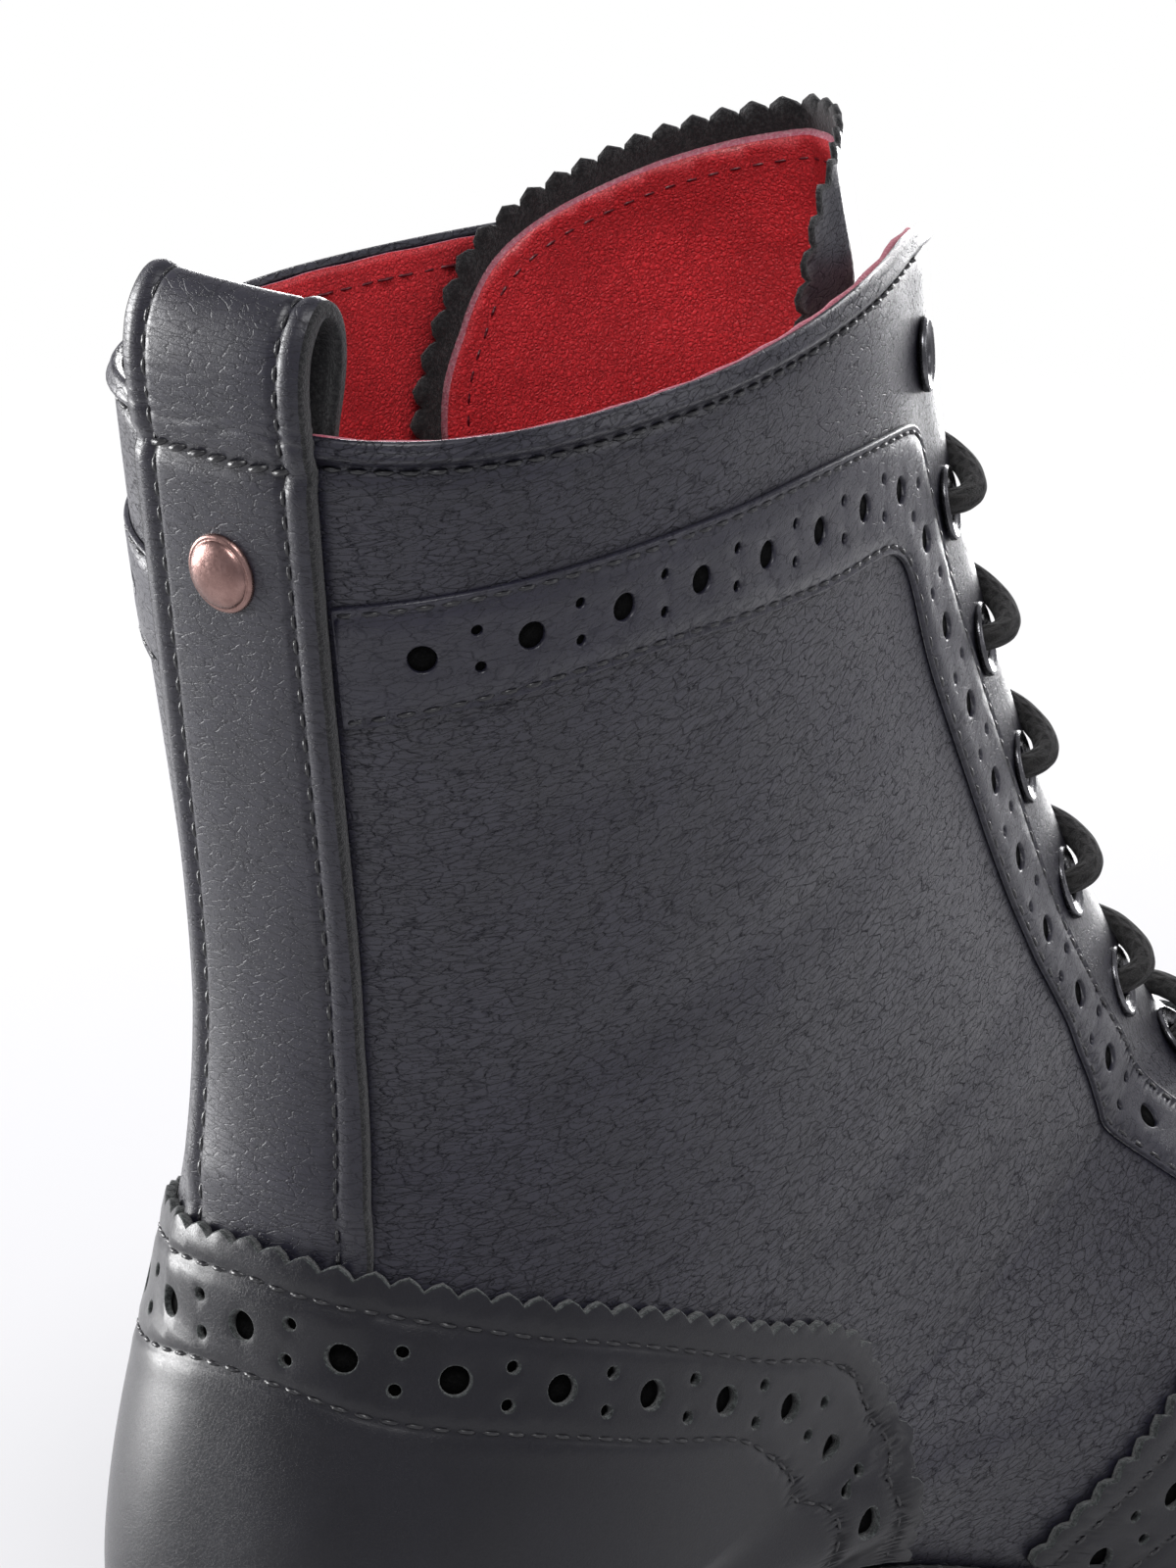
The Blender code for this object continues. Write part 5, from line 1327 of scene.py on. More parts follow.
def both_sheets(rows, columns, height, inset=0.0):
    """Points, normals and faces of a sheet over both sides, its height worked out from row, u and side."""
    points, outs, faces, start = [], [], [], 0
    for side in (OUTER, INNER):
        row, u = upper_grid(side, rows, columns)
        u = np.minimum(u + inset, 1.0)
        out = normal(row, u, side)
        points.append((surface(row, u, side) + out * height(row, u, side)[..., None]).reshape(-1, 3))
        outs.append(out.reshape(-1, 3))
        faces.append(grid(*row.shape, flip=side == OUTER) + start)
        start += row.size
    return np.concatenate(points), np.concatenate(outs), np.concatenate(faces)


def build_upper_skin(places, material):
    """The black leather of the quarters and of what lies under the vamp and cap, folded over at its edges."""
    seam_row = COLLAR_SEAM / COLLAR_ROW
    near = np.concatenate([np.linspace(0, 0.12, 13), seam_row + np.array([-0.03, -0.012, 0, 0.012, 0.03])])
    rows = np.unique(np.concatenate([near, np.linspace(0.24, 10.2, 165), np.linspace(10.3, LAST_ROW, 60)]))
    down = rows[:, None] * COLLAR_ROW
    seam = -GROOVE_DEPTH * bell(np.abs(down - COLLAR_SEAM), GROOVE_WIDTH)
    bead = BEAD_RISE * bell(down - BEAD, BEAD_WIDTH) - BEAD_DIP * bell(down - BEAD_GROOVE, BEAD_GROOVE_WIDTH)
    points, outs, faces = both_sheets(rows, 78, lambda row, u, side: seam + bead + worn(row, u, side))
    faces = without_holes(points, faces, places, EYELET_HOLE / 2 - SKIN_OVER_HOLE)
    made = shell(points, outs, faces, LEATHER, FOLDED_EDGE)
    return piece("quarters", made[0], made[1], [material], None, "upper")


def build_lining(places, lining_material, edge_material):
    """Red lining inside the quarters, its raw top edge a little below the fold."""
    near = [0.025, 0.045, 0.075]
    rows = np.concatenate([near, np.linspace(0.11, 10.0, 90), np.linspace(10.2, LAST_ROW, 26)])

    def height(row, u, side):
        slack = LINING_SLACK * np.sin(90 * u) * np.sin(3.1 * row + side)
        return worn(row, u, side) - (LEATHER + LINING_GAP + slack)

    points, outs, faces = both_sheets(rows, 44, height, LINING_INSET)
    faces = without_holes(points, faces, places, EYELET_HOLE / 2)
    made = shell(points, outs, faces, LINING, RAW_EDGE)
    raw = (made[2] == 1).astype(int)
    return piece("lining", made[0], made[1], [lining_material, edge_material], raw, ())


def counter_outline():
    """The counter's pinked edge, then its bottom edge back along the feather."""
    edge = evenly("back", both_sides(COUNTER_EDGE, "back"), 0.002)
    teeth = pinked("back", edge[::-1])[::-1]
    foot = 1 - OVERLAY_FOOT
    turn = np.linspace(COUNTER_EDGE[-1][0], FOOT_START + 0.05, 70)
    inner = np.stack([turn, np.full(len(turn), foot)], -1)
    outer = np.stack([turn[::-1], np.full(len(turn), -foot)], -1)
    return edge, np.concatenate([teeth, inner, [[FOOT_START - 0.03, 0.0]], outer])


def between(first, second, share, count=260):
    """A line part of the way from one line to another, both run through in equal steps of their numbering."""
    at = np.linspace(0, 1, count)
    pair = [read_at(at, np.linspace(0, 1, len(spots)), spots) for spots in (first, second)]
    return pair[0] * (1 - share) + pair[1] * share


def over_strap(spots):
    """Extra height where the counter's top edge lies over the strap's end."""
    across = 1 - eased((np.abs(spots[:, 1]) - 0.098) / 0.022)
    return 0.0014 * across * (1 - eased((spots[:, 0] - 4.28) / 0.4))


def build_counter(materials):
    """Pinked and brogued piece round the heel."""
    edge, outline = counter_outline()
    first = beside("back", edge, -FIRST_SEAM)
    second = evenly("back", both_sides(COUNTER_SEAM, "back"), 0.002)
    holes = punched("back", between(first, second, 0.5))
    base = COUNTER_GAP - COUNTER_SINK
    return overlay(
        "counter_leather", "back", outline, holes, [first, second], base, PIECE_LEATHER, materials,
        raised=over_strap, spacing=0.0011,
    )


def band_lines():
    """The band's upper and lower edges, as smooth lines."""
    number = np.arange(len(BAND_TOP))
    fine = np.linspace(0, number[-1], 160)
    return spline(number, np.array(BAND_TOP))(fine), spline(number, np.array(BAND_LOW))(fine)


def build_bands(leather_material, painted_hole_shade):
    """Brogued band on each quarter, stitched along both edges."""
    rows = []
    top, low = band_lines()
    for side, word, sign in ((OUTER, "outer", 1), (INNER, "inner", -1)):
        outline = np.concatenate([evenly(side, top, 0.0012), evenly(side, low, 0.0012)[::-1]])
        seams = [beside(side, top, sign * BAND_SEAM), beside(side, low, -sign * BAND_SEAM)]
        holes = punched(side, 0.5 * (top + low), start=0.0095)
        rows += overlay(
            f"band_{word}_leather", side, outline, holes, seams, SEAT_GAP - BAND_SINK, BAND_LEATHER,
            [leather_material, leather_material, painted_hole_shade], BAND_EDGE,
        )
    return rows


def front_outline(back_edge):
    """A piece's back edge over the ridge, and the same edge cut in teeth that stop at the feather."""
    back = np.array([(n, u) for u, n in back_edge])
    line_spots = both_sides(np.minimum(back, [99, OVERLAY_FOOT]), "front")
    edge = beside("front", evenly("front", line_spots, 0.002), 0.0016)
    teeth = pinked("front", edge)
    teeth[:, 1] = np.clip(teeth[:, 1], -OVERLAY_FOOT, OVERLAY_FOOT)
    return edge, teeth


def brogueing(edge, start):
    """Two seams inside a pinked edge, and the holes between them."""
    seams = [beside("front", edge, FIRST_SEAM), beside("front", edge, SECOND_SEAM)]
    return seams, punched("front", beside("front", edge, HOLE_LINE), start=start)


def build_vamp(materials):
    """Piece over the instep, brogued along its back edge and running on under the cap."""
    edge, teeth = front_outline(VAMP_EDGE)
    cap = both_sides(np.array([(n + VAMP_UNDER_CAP, min(u, OVERLAY_FOOT)) for u, n in CAP_EDGE]), "front")
    outline = np.concatenate([teeth, evenly("front", cap, 0.0015)[::-1]])
    seams, holes = brogueing(edge, 0.006)
    base = SEAT_GAP - VAMP_SINK
    return overlay("vamp_leather", "front", outline, holes, seams, base, PIECE_LEATHER, materials)


def build_wing_cap(materials):
    """Winged toe cap with a rosette of holes."""
    edge, teeth = front_outline(CAP_EDGE)
    turn = np.linspace(CAP_EDGE[-1][1], LAST_ROW - 0.02, 90)
    inner = np.stack([turn, np.full(len(turn), OVERLAY_FOOT)], -1)
    outer = np.stack([turn[::-1], np.full(len(turn), -OVERLAY_FOOT)], -1)
    outline = np.concatenate([teeth, inner, outer])
    seams, holes = brogueing(edge, 0.004)
    middle = np.array([[ROSETTE_ROW, 0.0]])
    _, out, by_row, _ = frames("front", middle)
    first, second = unit(by_row)[0], unit(np.cross(out, by_row))[0]
    for count, far, width, turned in ROSETTE:
        for k in range(count):
            angle = 2 * math.pi * (k + turned) / count
            shift = far * (math.cos(angle) * first + math.sin(angle) * second)
            holes.append((moved("front", middle, shift[None])[0], width / 2))
    return overlay("wing_cap_leather", "front", outline, holes, seams, SEAT_GAP, CAP_LEATHER, materials)


# Back strap, loop and stud


def strap_reach(row):
    return np.interp(row, (0, 3, 4.2), (0.898, 0.905, 0.893))


def strap_profile():
    """Section number, height above the collar and distance out, from under the counter to inside the loop."""
    seat = SEAT_GAP + STRAP_THICKNESS / 2
    climb = np.linspace(STRAP_FOOT, 0, CLIMB_ROWS)
    climb = [(row, 0.0, seat - STRAP_SINK * eased((row - 3.75) / 0.3)) for row in climb]
    loop = [(0.0, up * LOOP_HEIGHT, seat + deep * LOOP_DEPTH) for up, deep in LOOP_BEND]
    down = [(0.0, -up * LOOP_HEIGHT, -WALL - SEAT_GAP - STRAP_THICKNESS / 2) for up in (0.0, 0.35, 0.7)]
    rows = np.array(climb + loop + down)
    top = 0.5 * (CLIMB_ROWS - 1)
    knots = np.concatenate([np.arange(CLIMB_ROWS) * 0.5, top + 1.0 + np.arange(len(loop) + len(down))])
    fine = [np.linspace(0, top, CLIMB_POINTS)[:-1], np.linspace(top, knots[-1], LOOP_POINTS)]
    return spline(knots, rows)(np.concatenate(fine))


def strap_surface(columns):
    """Middle sheet of the strap and loop as a grid of points."""
    side = np.where(columns < 0, OUTER, INNER)
    lines = []
    for row, up, deep in strap_profile():
        level = max(row, 0.0)
        u = 1 - (1 - strap_reach(level)) * np.abs(columns)
        out = normal(level, u, side)
        out[:, 1] *= STRAP_FLATNESS
        out = unit(out)
        lines.append(surface(level, u, side) + out * deep + [0, 0, up])
    return np.array(lines)


def build_back_strap(leather_material, edge_material):
    """Strap with a seam along each edge, carried on round as the pull loop and pinched in under it."""
    edge = np.linspace(0.66, 1, 12)
    columns = np.concatenate([-edge[::-1], np.linspace(-0.62, 0.62, 22), edge])
    middle = strap_surface(columns)
    along, across = np.gradient(middle, axis=0), np.gradient(middle, axis=1)
    out = unit(np.cross(across, along))
    if out[10, 20, 0] > 0:
        out = -out
    aside = np.abs(columns)
    groove = GROOVE_DEPTH * bell((aside - STRAP_SEAM) * STRAP_HALF, GROOVE_WIDTH)
    relief = ROLL_RISE * bell(aside - 0.90, 0.07) - groove
    face = middle + out * (STRAP_THICKNESS / 2 + relief)[None, :, None]
    height = middle[:, :, 2]
    pinch = PINCH_DEPTH * bell(height - PINCH_HEIGHT, 0.0012)
    ripple = RIPPLE_DEPTH * np.sin((height - 0.19) * 3600 + 5 * np.sin(columns * 3.0)[None, :])
    ripple *= bell(height - RIPPLE_HEIGHT, 0.0035)
    outside = middle[:, :, 0] < LOOP_FRONT
    face = face - out * ((pinch - ripple) * outside)[..., None]
    flip = np.cross(face[1, 0] - face[0, 0], face[0, 1] - face[0, 0]) @ out[0, 0] > 0
    quads = grid(*middle.shape[:2], flip=flip)
    rim = ((0.0003, 0.0001), (0.0005, 0.0005), (0.0005, 0.0013))
    made = shell(face.reshape(-1, 3), out.reshape(-1, 3), quads, STRAP_THICKNESS, rim)
    kinds = (made[2] > 0).astype(int)
    materials = [leather_material, edge_material]
    piece("strap_and_loop", made[0], made[1], materials, kinds, "back_strap")
    rows = []
    for place in (-STRAP_SEAM, STRAP_SEAM):
        points = np.array([read_at(place, columns, row) for row in face[:SEAM_POINTS]])
        outs = np.array([read_at(place, columns, row) for row in out[:SEAM_POINTS]])
        rows.append(stitch_row(points + outs * 0.0001, unit(outs)))
    at = int(np.argmin(np.abs(strap_profile()[:CLIMB_POINTS, 0] - CROSS_SEAM_ROW)))
    inner = aside < 0.86
    cross = face[at, inner] + out[at, inner] * 0.00055
    rows.append(stitch_row(cross, out[at, inner], pitch=0.0030, length=0.0031, thickness=0.00085, slant=0.28))
    return rows


def build_stud(metal):
    """Plain dome with a low rim, turned about its own axis."""
    place, out = surface(0.74, 1.0, OUTER), normal(0.74, 1.0, OUTER)
    out[1] = 0
    out = unit(out)
    seat = place + out * (SEAT_GAP + STRAP_THICKNESS - 0.0001)
    side, up, _ = frame_of(out)
    half = STUD_WIDTH / 2
    angle = np.linspace(0, math.pi / 2, 14)
    profile = np.array([(0.0, -0.0004), (0.97, -0.0004), (1.0, 0.0002), (0.97, 0.0006), (0.90, 0.0007)])
    dome = np.stack([0.86 * np.cos(angle), 0.0006 + (STUD_RISE - 0.0006) * np.sin(angle)], -1)
    profile = np.concatenate([profile, dome])
    profile[-1, 0] = 0.0
    turn = np.arange(72) * 2 * math.pi / 72
    ring = np.cos(turn)[:, None] * side + np.sin(turn)[:, None] * up
    points = seat + profile[:, None, :1] * half * ring[None] + profile[:, None, 1:] * out
    points = points.reshape(-1, 3)
    made, _, faces = welded(points, points, triangles_of(grid_round(len(profile), 72)))
    piece("stud_dome", made, facing_out(made, faces), [metal], node="stud")


def triangles_of(quads):
    return np.concatenate([quads[:, :3], quads[:, [0, 2, 3]]])


# Eyelets and lace


def build_eyelets(places, metal):
    """Each eyelet as a ring turned about its axis: a rolled flange outside, a barrel through the leather."""
    bore, barrel, flange = EYELET_BORE / 2, EYELET_BARREL / 2, EYELET_FLANGE / 2
    top = 0.00085
    foot = -WALL - 0.0004
    profile = np.array([
        (bore, foot), (bore, -0.6 * WALL), (1.01 * bore, -0.1 * WALL), (1.10 * bore, 0.30 * top),
        (1.32 * bore, 0.55 * top), (0.80 * flange, 0.62 * top), (0.86 * flange, 0.80 * top),
        (0.91 * flange, 0.86 * top), (0.96 * flange, 0.78 * top), (flange, 0.45 * top),
        (0.99 * flange, -0.0001), (barrel, -0.0001), (barrel, foot),
    ])
    turn = np.arange(40) * 2 * math.pi / 40
    for side, word in ((OUTER, "outer"), (INNER, "inner")):
        for number, (centre, out) in enumerate(zip(places[side][0], places[side][1])):
            a, b, _ = frame_of(out)
            ring = np.cos(turn)[:, None] * a + np.sin(turn)[:, None] * b
            seat = centre + 0.55 * FACING_SPRING * out
            rings = seat + profile[:, None, :1] * ring[None] + profile[:, None, 1:] * out
            points, faces = ring_surface(rings)
            name, faces = f"eyelet_{word}_{number + 1}", facing_out(points, faces)
            piece(f"{name}_ring", points, faces, [metal], node=name)


def cord_tube(path, radius, sides):
    """Points, faces and round-and-along places of a cord without twist, its ends blunt cones."""
    tangent = unit(np.gradient(path, axis=0))
    across = np.cross(tangent[0], (0.3, 0.2, 1.0))
    frames_across = []
    for forward in tangent:
        across = across - (across @ forward) * forward
        across = across / np.linalg.norm(across)
        frames_across.append(across)
    across = np.array(frames_across)
    other = np.cross(tangent, across)
    run = run_along(path)
    angle = np.arange(sides + 1) * 2 * math.pi / sides
    fibre = 1 + 0.02 * np.sin(run / radius * 2.2)[:, None] * np.sin(3 * angle)[None]
    spokes = np.cos(angle)[None, :, None] * across[:, None] + np.sin(angle)[None, :, None] * other[:, None]
    rings = path[:, None] + radius * fibre[..., None] * spokes
    uv = np.stack(np.broadcast_arrays(angle[None] / (2 * math.pi), run[:, None] / (2 * radius)), -1)
    count = sides + 1
    tips = [path[0] - tangent[0] * radius * 0.4, path[-1] + tangent[-1] * radius * 0.4]
    points = np.concatenate([rings.reshape(-1, 3), tips])
    uv = np.concatenate([uv.reshape(-1, 2), [[0.5, 0.0], [0.5, run[-1] / (2 * radius)]]])
    j, tip, last_ring = np.arange(sides), len(path) * count, (len(path) - 1) * count
    first = np.stack([np.full(sides, tip), j, j + 1], -1)
    last = np.stack([np.full(sides, tip + 1), last_ring + j + 1, last_ring + j], -1)
    return points, [*grid(len(path), count), *first, *last], uv


def build_lace(places, cord):
    """Both strands as one woven cord, threaded through the eyelets and ending behind the top laced pair."""
    points, faces, uvs, start = [], [], [], 0
    for side in (OUTER, INNER):
        path = smooth_path(lace_path(places, side)[::2], 10)
        for _ in range(LACE_SMOOTHING):
            path[1:-1] += 0.5 * (0.5 * (path[:-2] + path[2:]) - path[1:-1])
        tube_points, tube_faces, uv = cord_tube(path, LACE / 2, 14)
        points.append(tube_points)
        faces += [np.asarray(f) + start for f in tube_faces]
        uvs.append(uv)
        start += len(tube_points)
    points = np.concatenate(points)
    uvs = np.concatenate(uvs)
    obj = piece("woven_lace", points, faces, [cord], node="lace", uv=uvs)
    faced_out(obj, merge=2e-6)


# Tongue


class TonguePlan:
    """Flat plan of the tongue, in metres: across from its middle, and up from the collar's level along it."""

    def __init__(self):
        self.levels = np.concatenate([np.linspace(0, 9, 37), np.linspace(9.2, 10.3, 6)])
        self.across = np.linspace(-0.055, 0.06, 47)
        points, outs = [], []
        for level in self.levels:
            run, line_points, line_outs = tongue_section(level)
            points.append(read_at(self.across, run, line_points))
            outs.append(read_at(self.across, run, line_outs))
        self.points, self.outs = np.array(points), unit(np.array(outs))
        middle = self.points[:, np.argmin(np.abs(self.across))]
        self.run = run_along(middle)

    def level(self, up):
        return np.interp(-np.minimum(up, 0), self.run, self.levels)

    def at(self, spots):
        """Points and outward normals of plan spots, between the sections and straight up above them."""
        level = np.interp(-np.minimum(spots[:, 1], 0), self.run, np.arange(len(self.run)))
        i = np.clip(level.astype(int), 0, len(self.run) - 2)
        t = (level - i)[:, None]
        place = np.interp(spots[:, 0], self.across, np.arange(len(self.across)))
        j = np.clip(place.astype(int), 0, len(self.across) - 2)
        s = (place - j)[:, None]
        made = []
        for table in (self.points, self.outs):
            low = table[i, j] * (1 - s) + table[i, j + 1] * s
            high = table[i + 1, j] * (1 - s) + table[i + 1, j + 1] * s
            made.append(low * (1 - t) + high * t)
        above = np.maximum(spots[:, 1], 0)
        made[0][:, 2] += above
        left = -TONGUE_REACH[0][1] * TONGUE_WIDTH
        lean = TONGUE_LEAN * above * eased((spots[:, 0] - left) / LEAN_START)
        return made[0] - unit(made[1]) * lean[:, None], unit(made[1])

    def outline(self, inset=0.0):
        """The tongue's edge from its outer foot, up over the top and down to its inner foot."""
        top = np.array(TONGUE_TOP)
        reach = np.array(TONGUE_REACH)
        share = np.linspace(0, 1, 60)
        climb = np.interp(share, top[:, 0], top[:, 1]) * TONGUE_RISE - NEAR_CORNER * (1 - eased(share / 0.34))
        low = -self.run[-1] + 0.004

        def edge(up, column):
            return np.interp(self.level(up), reach[:, 0], reach[:, column]) * TONGUE_WIDTH

        left_up = np.linspace(low, climb[0], 60)[:-1]
        left = np.stack([-edge(left_up, 1), left_up], -1)
        across = -edge(climb, 1) + (edge(climb, 1) + edge(climb, 2)) * share
        over = np.stack([across, climb], -1)
        right_up = np.linspace(climb[-1], low, 60)[1:]
        right = np.stack([edge(right_up, 2), right_up], -1)
        plan = flat_line(np.concatenate([left, over, right]), 0.001)
        for _ in range(TONGUE_SMOOTHING):
            plan[1:-1] = 0.25 * plan[:-2] + 0.5 * plan[1:-1] + 0.25 * plan[2:]
        along = unit(np.gradient(plan, axis=0))
        return plan + np.stack([along[:, 1], -along[:, 0]], -1) * inset


def flat_line(plan, spacing):
    run = run_along(plan)
    return read_at(np.arange(0, run[-1], spacing), run, plan)


def flat_sheet(outline, spacing):
    """Spots and triangles that fill a flat outline."""
    low, high = outline.min(0), outline.max(0)
    lattice = np.meshgrid(*(np.arange(a, b, spacing) for a, b in zip(low, high)), indexing="ij")
    lattice = np.stack(lattice, -1).reshape(-1, 2)
    lattice = lattice[inside(outline, lattice)]
    lattice = lattice[nearest(lattice, outline) > 0.6 * spacing]
    spots = np.concatenate([outline, lattice])
    edges = [(k, (k + 1) % len(outline)) for k in range(len(outline))]
    spots, triangles = triangulated(spots, edges)
    return spots, triangles[inside(outline, spots[triangles].mean(1))]


def tongue_fold(spots, plan):
    """Height of the folds down the outer third, where the tongue turns towards the facing."""
    down = -spots[:, 1]
    away = spots[:, 0] + line(TONGUE_REACH)(plan.level(spots[:, 1])) * TONGUE_WIDTH
    turned_in = TURNED_IN * np.maximum(1 - away / TURNED_WIDTH, 0) * (1 - eased((down - 0.004) / 0.022))
    valley = VALLEY_DEPTH * bell(away - VALLEY_PLACE, VALLEY_WIDTH) * (1 - eased((down - 0.002) / 0.03))
    return valley + RIDGE_RISE * bell(away - TURNED_WIDTH, RIDGE_WIDTH) - turned_in


def tongue_layer(name, plan, outline, top, thickness, materials, node, rim, spacing=0.0013):
    """One layer of the tongue, between two depths under the plan's surface."""
    spots, triangles = flat_sheet(outline, spacing)
    flat, out = plan.at(spots)
    points = flat + out * (tongue_fold(spots, plan) - top)[:, None]
    made = shell(points, out, facing(points, triangles, out), thickness, rim)
    kinds = np.minimum(made[2], len(materials) - 1)
    return piece(name, made[0], made[1], materials, kinds, node)


def build_tongue(black, raw, lining, lining_edge):
    """Pinked leather with a lining inside its edge, and the lining's seam."""
    plan = TonguePlan()
    edge = flat_line(plan.outline(0.0), PINKING / 4)
    along = unit(np.gradient(edge, axis=0))
    rise = tooth_rise(len(edge)) * TONGUE_TEETH * PINKING_DEPTH
    teeth = edge - np.stack([along[:, 1], -along[:, 0]], -1) * rise[:, None]
    depth, slot = TONGUE_LEATHER, "black_leather"
    tongue_layer("tongue_leather", plan, teeth, 0.0, depth, [black, raw], "tongue", RAW_EDGE)
    inner, both = flat_line(plan.outline(0.0027), 0.0011), [lining, lining_edge, lining]
    tongue_layer("tongue_lining", plan, inner, depth, 0.0008, both, (), TONGUE_EDGE)
    seam = flat_line(plan.outline(0.0055), 0.0006)
    seam = seam[seam[:, 1] > -0.05]
    points, outs = plan.at(seam)
    points = points + outs * (tongue_fold(seam, plan) - 0.00185)[:, None]
    return stitch_row(points, -outs, pitch=0.0027, length=0.0022, thickness=0.0004)


# Sole, welt, heel and insole


def sole_slab(name, ring, under, over, rim, materials, node):
    """A slab inside a closed plan line between two heights that depend on x, with a shaped edge."""
    half = len(ring) // 2
    outer, inner = ring[: half + 1], np.concatenate([ring[:1], ring[: half - 1 : -1]])
    across = np.linspace(0, 1, 17)[None, :, None]
    flat = outer[:, None] * (1 - across) + inner[:, None] * across
    top = np.concatenate([flat, over(flat[..., :1])], -1).reshape(-1, 3)
    thickness = float(np.mean(over(flat[..., 0]) - under(flat[..., 0])))
    up = np.tile([0, 0, 1.0], (len(top), 1))
    quads = grid(*flat.shape[:2])
    a, b, d = top[quads[40, 0]], top[quads[40, 1]], top[quads[40, 3]]
    if np.cross(b - a, d - a)[2] < 0:
        quads = quads[:, ::-1]
    made = shell(top, up, quads, thickness, rim)
    kinds = np.minimum(made[2], len(materials) - 1)
    return piece(name, made[0], made[1], materials, kinds, node)


def build_soles(sole, welt_leather, red):
    """Outsole, insole board, welt and the welt's stitches."""
    slab_rim = (
        (0.0004, 0.0001), (0.0007, 0.0005), (0.0008, 0.5 * OUTSOLE), (0.0007, OUTSOLE - 0.0006),
        (0.0003, OUTSOLE - 0.0001),
    )
    sole_slab(
        "outsole_slab", feather_ring(lambda x: extension(x) - 0.0008, 280), sole_height,
        lambda x: sole_height(x) + OUTSOLE, slab_rim, [sole], "outsole",
    )
    base = OUTSOLE + SEAT_GAP
    sole_slab(
        "insole_board", feather_ring(-(2.2 * WALL + SIDE_GAP), 200), lambda x: sole_height(x) + base,
        lambda x: sole_height(x) + base + INSOLE, CUT_EDGE, [red], "insole",
    )
    profile = (
        (0.0, 0.0004, 0.0), (1.0, -0.0007, 0.0), (1.0, -0.0003, 0.25), (1.0, -0.0001, 0.5),
        (1.0, -0.0004, 0.8),
        (1.0, -0.0011, 1.0), (1.0, -0.0017, 0.94), (1.0, -0.0021, 0.94), (1.0, -0.0027, 1.0),
        (0.0, 0.0005, 1.04),
    )
    low, high = OUTSOLE + 0.0001, OUTSOLE + WELT - 0.0002
    rings = []
    for share, shift, level in profile:
        plan = feather_ring(lambda x, a=share, b=shift: a * extension(x) + b + (1 - a) * SIDE_GAP, 420)
        rings.append(np.c_[plan, sole_height(plan[:, 0]) + low + (high - low) * level])
    points, faces = ring_surface(rings)
    piece("welt_strip", points, facing_out(points, faces), [welt_leather], node="welt")
    seam = feather_ring(lambda x: extension(x) - 0.0019, 420)
    line_points = np.c_[seam, sole_height(seam[:, 0]) + high - 0.0001]
    front = line_points[:, 0] > HEEL_BACK + 0.20 * LAST_LENGTH
    start = int(np.argmax(front))
    ordered = line_points[start:][front[start:]]
    up = np.tile([0, 0, 1.0], (len(ordered), 1))
    return [stitch_row(ordered, up, pitch=0.0036, length=0.0030, thickness=0.00075)]


def build_heel(stack, rubber):
    """Heel in six layers, each a hair smaller at its edges, over a rubber top lift."""
    taper = HEEL_TAPER / HEEL_LIFT
    foot = TOP_LIFT + LIFT_GAP
    levels = []
    for k in range(HEEL_LAYERS):
        low, high = (foot + (HEEL_LIFT - foot) * n / HEEL_LAYERS for n in (k, k + 1))
        levels += [(low + 0.00005, LAYER_GROOVE), (low + LAYER_BEVEL, 0.0)]
        levels += [(high - LAYER_BEVEL, 0.0), (high - 0.00005, LAYER_GROOVE)]
    lift = [(0.0, 0.0004), (0.0004, 0.0), (TOP_LIFT - 0.0004, 0.0), (TOP_LIFT, 0.0002)]
    for name, node, slot_name, material, steps in (
        ("heel_layers", "heel_stack", "stacked_heel", stack, levels),
        ("rubber_lift", "top_lift", "top_lift_rubber", rubber, lift),
    ):
        rings = []
        for z, shrink in steps:
            plan = heel_plan(HEEL_TAPER - taper * z + shrink)
            rings.append(np.c_[plan, np.full(len(plan), z)])
        rings = np.array(rings)
        count = rings.shape[1]
        faces = [np.array(f) for f in grid_round(len(rings), count)]
        faces += [np.arange(count)[::-1], np.arange(count) + (len(rings) - 1) * count]
        obj = piece(name, rings.reshape(-1, 3), faces, [material], node=node)
        faced_out(obj)
        obj.data.polygons.foreach_set("use_smooth", [False] * len(obj.data.polygons))


# Stage


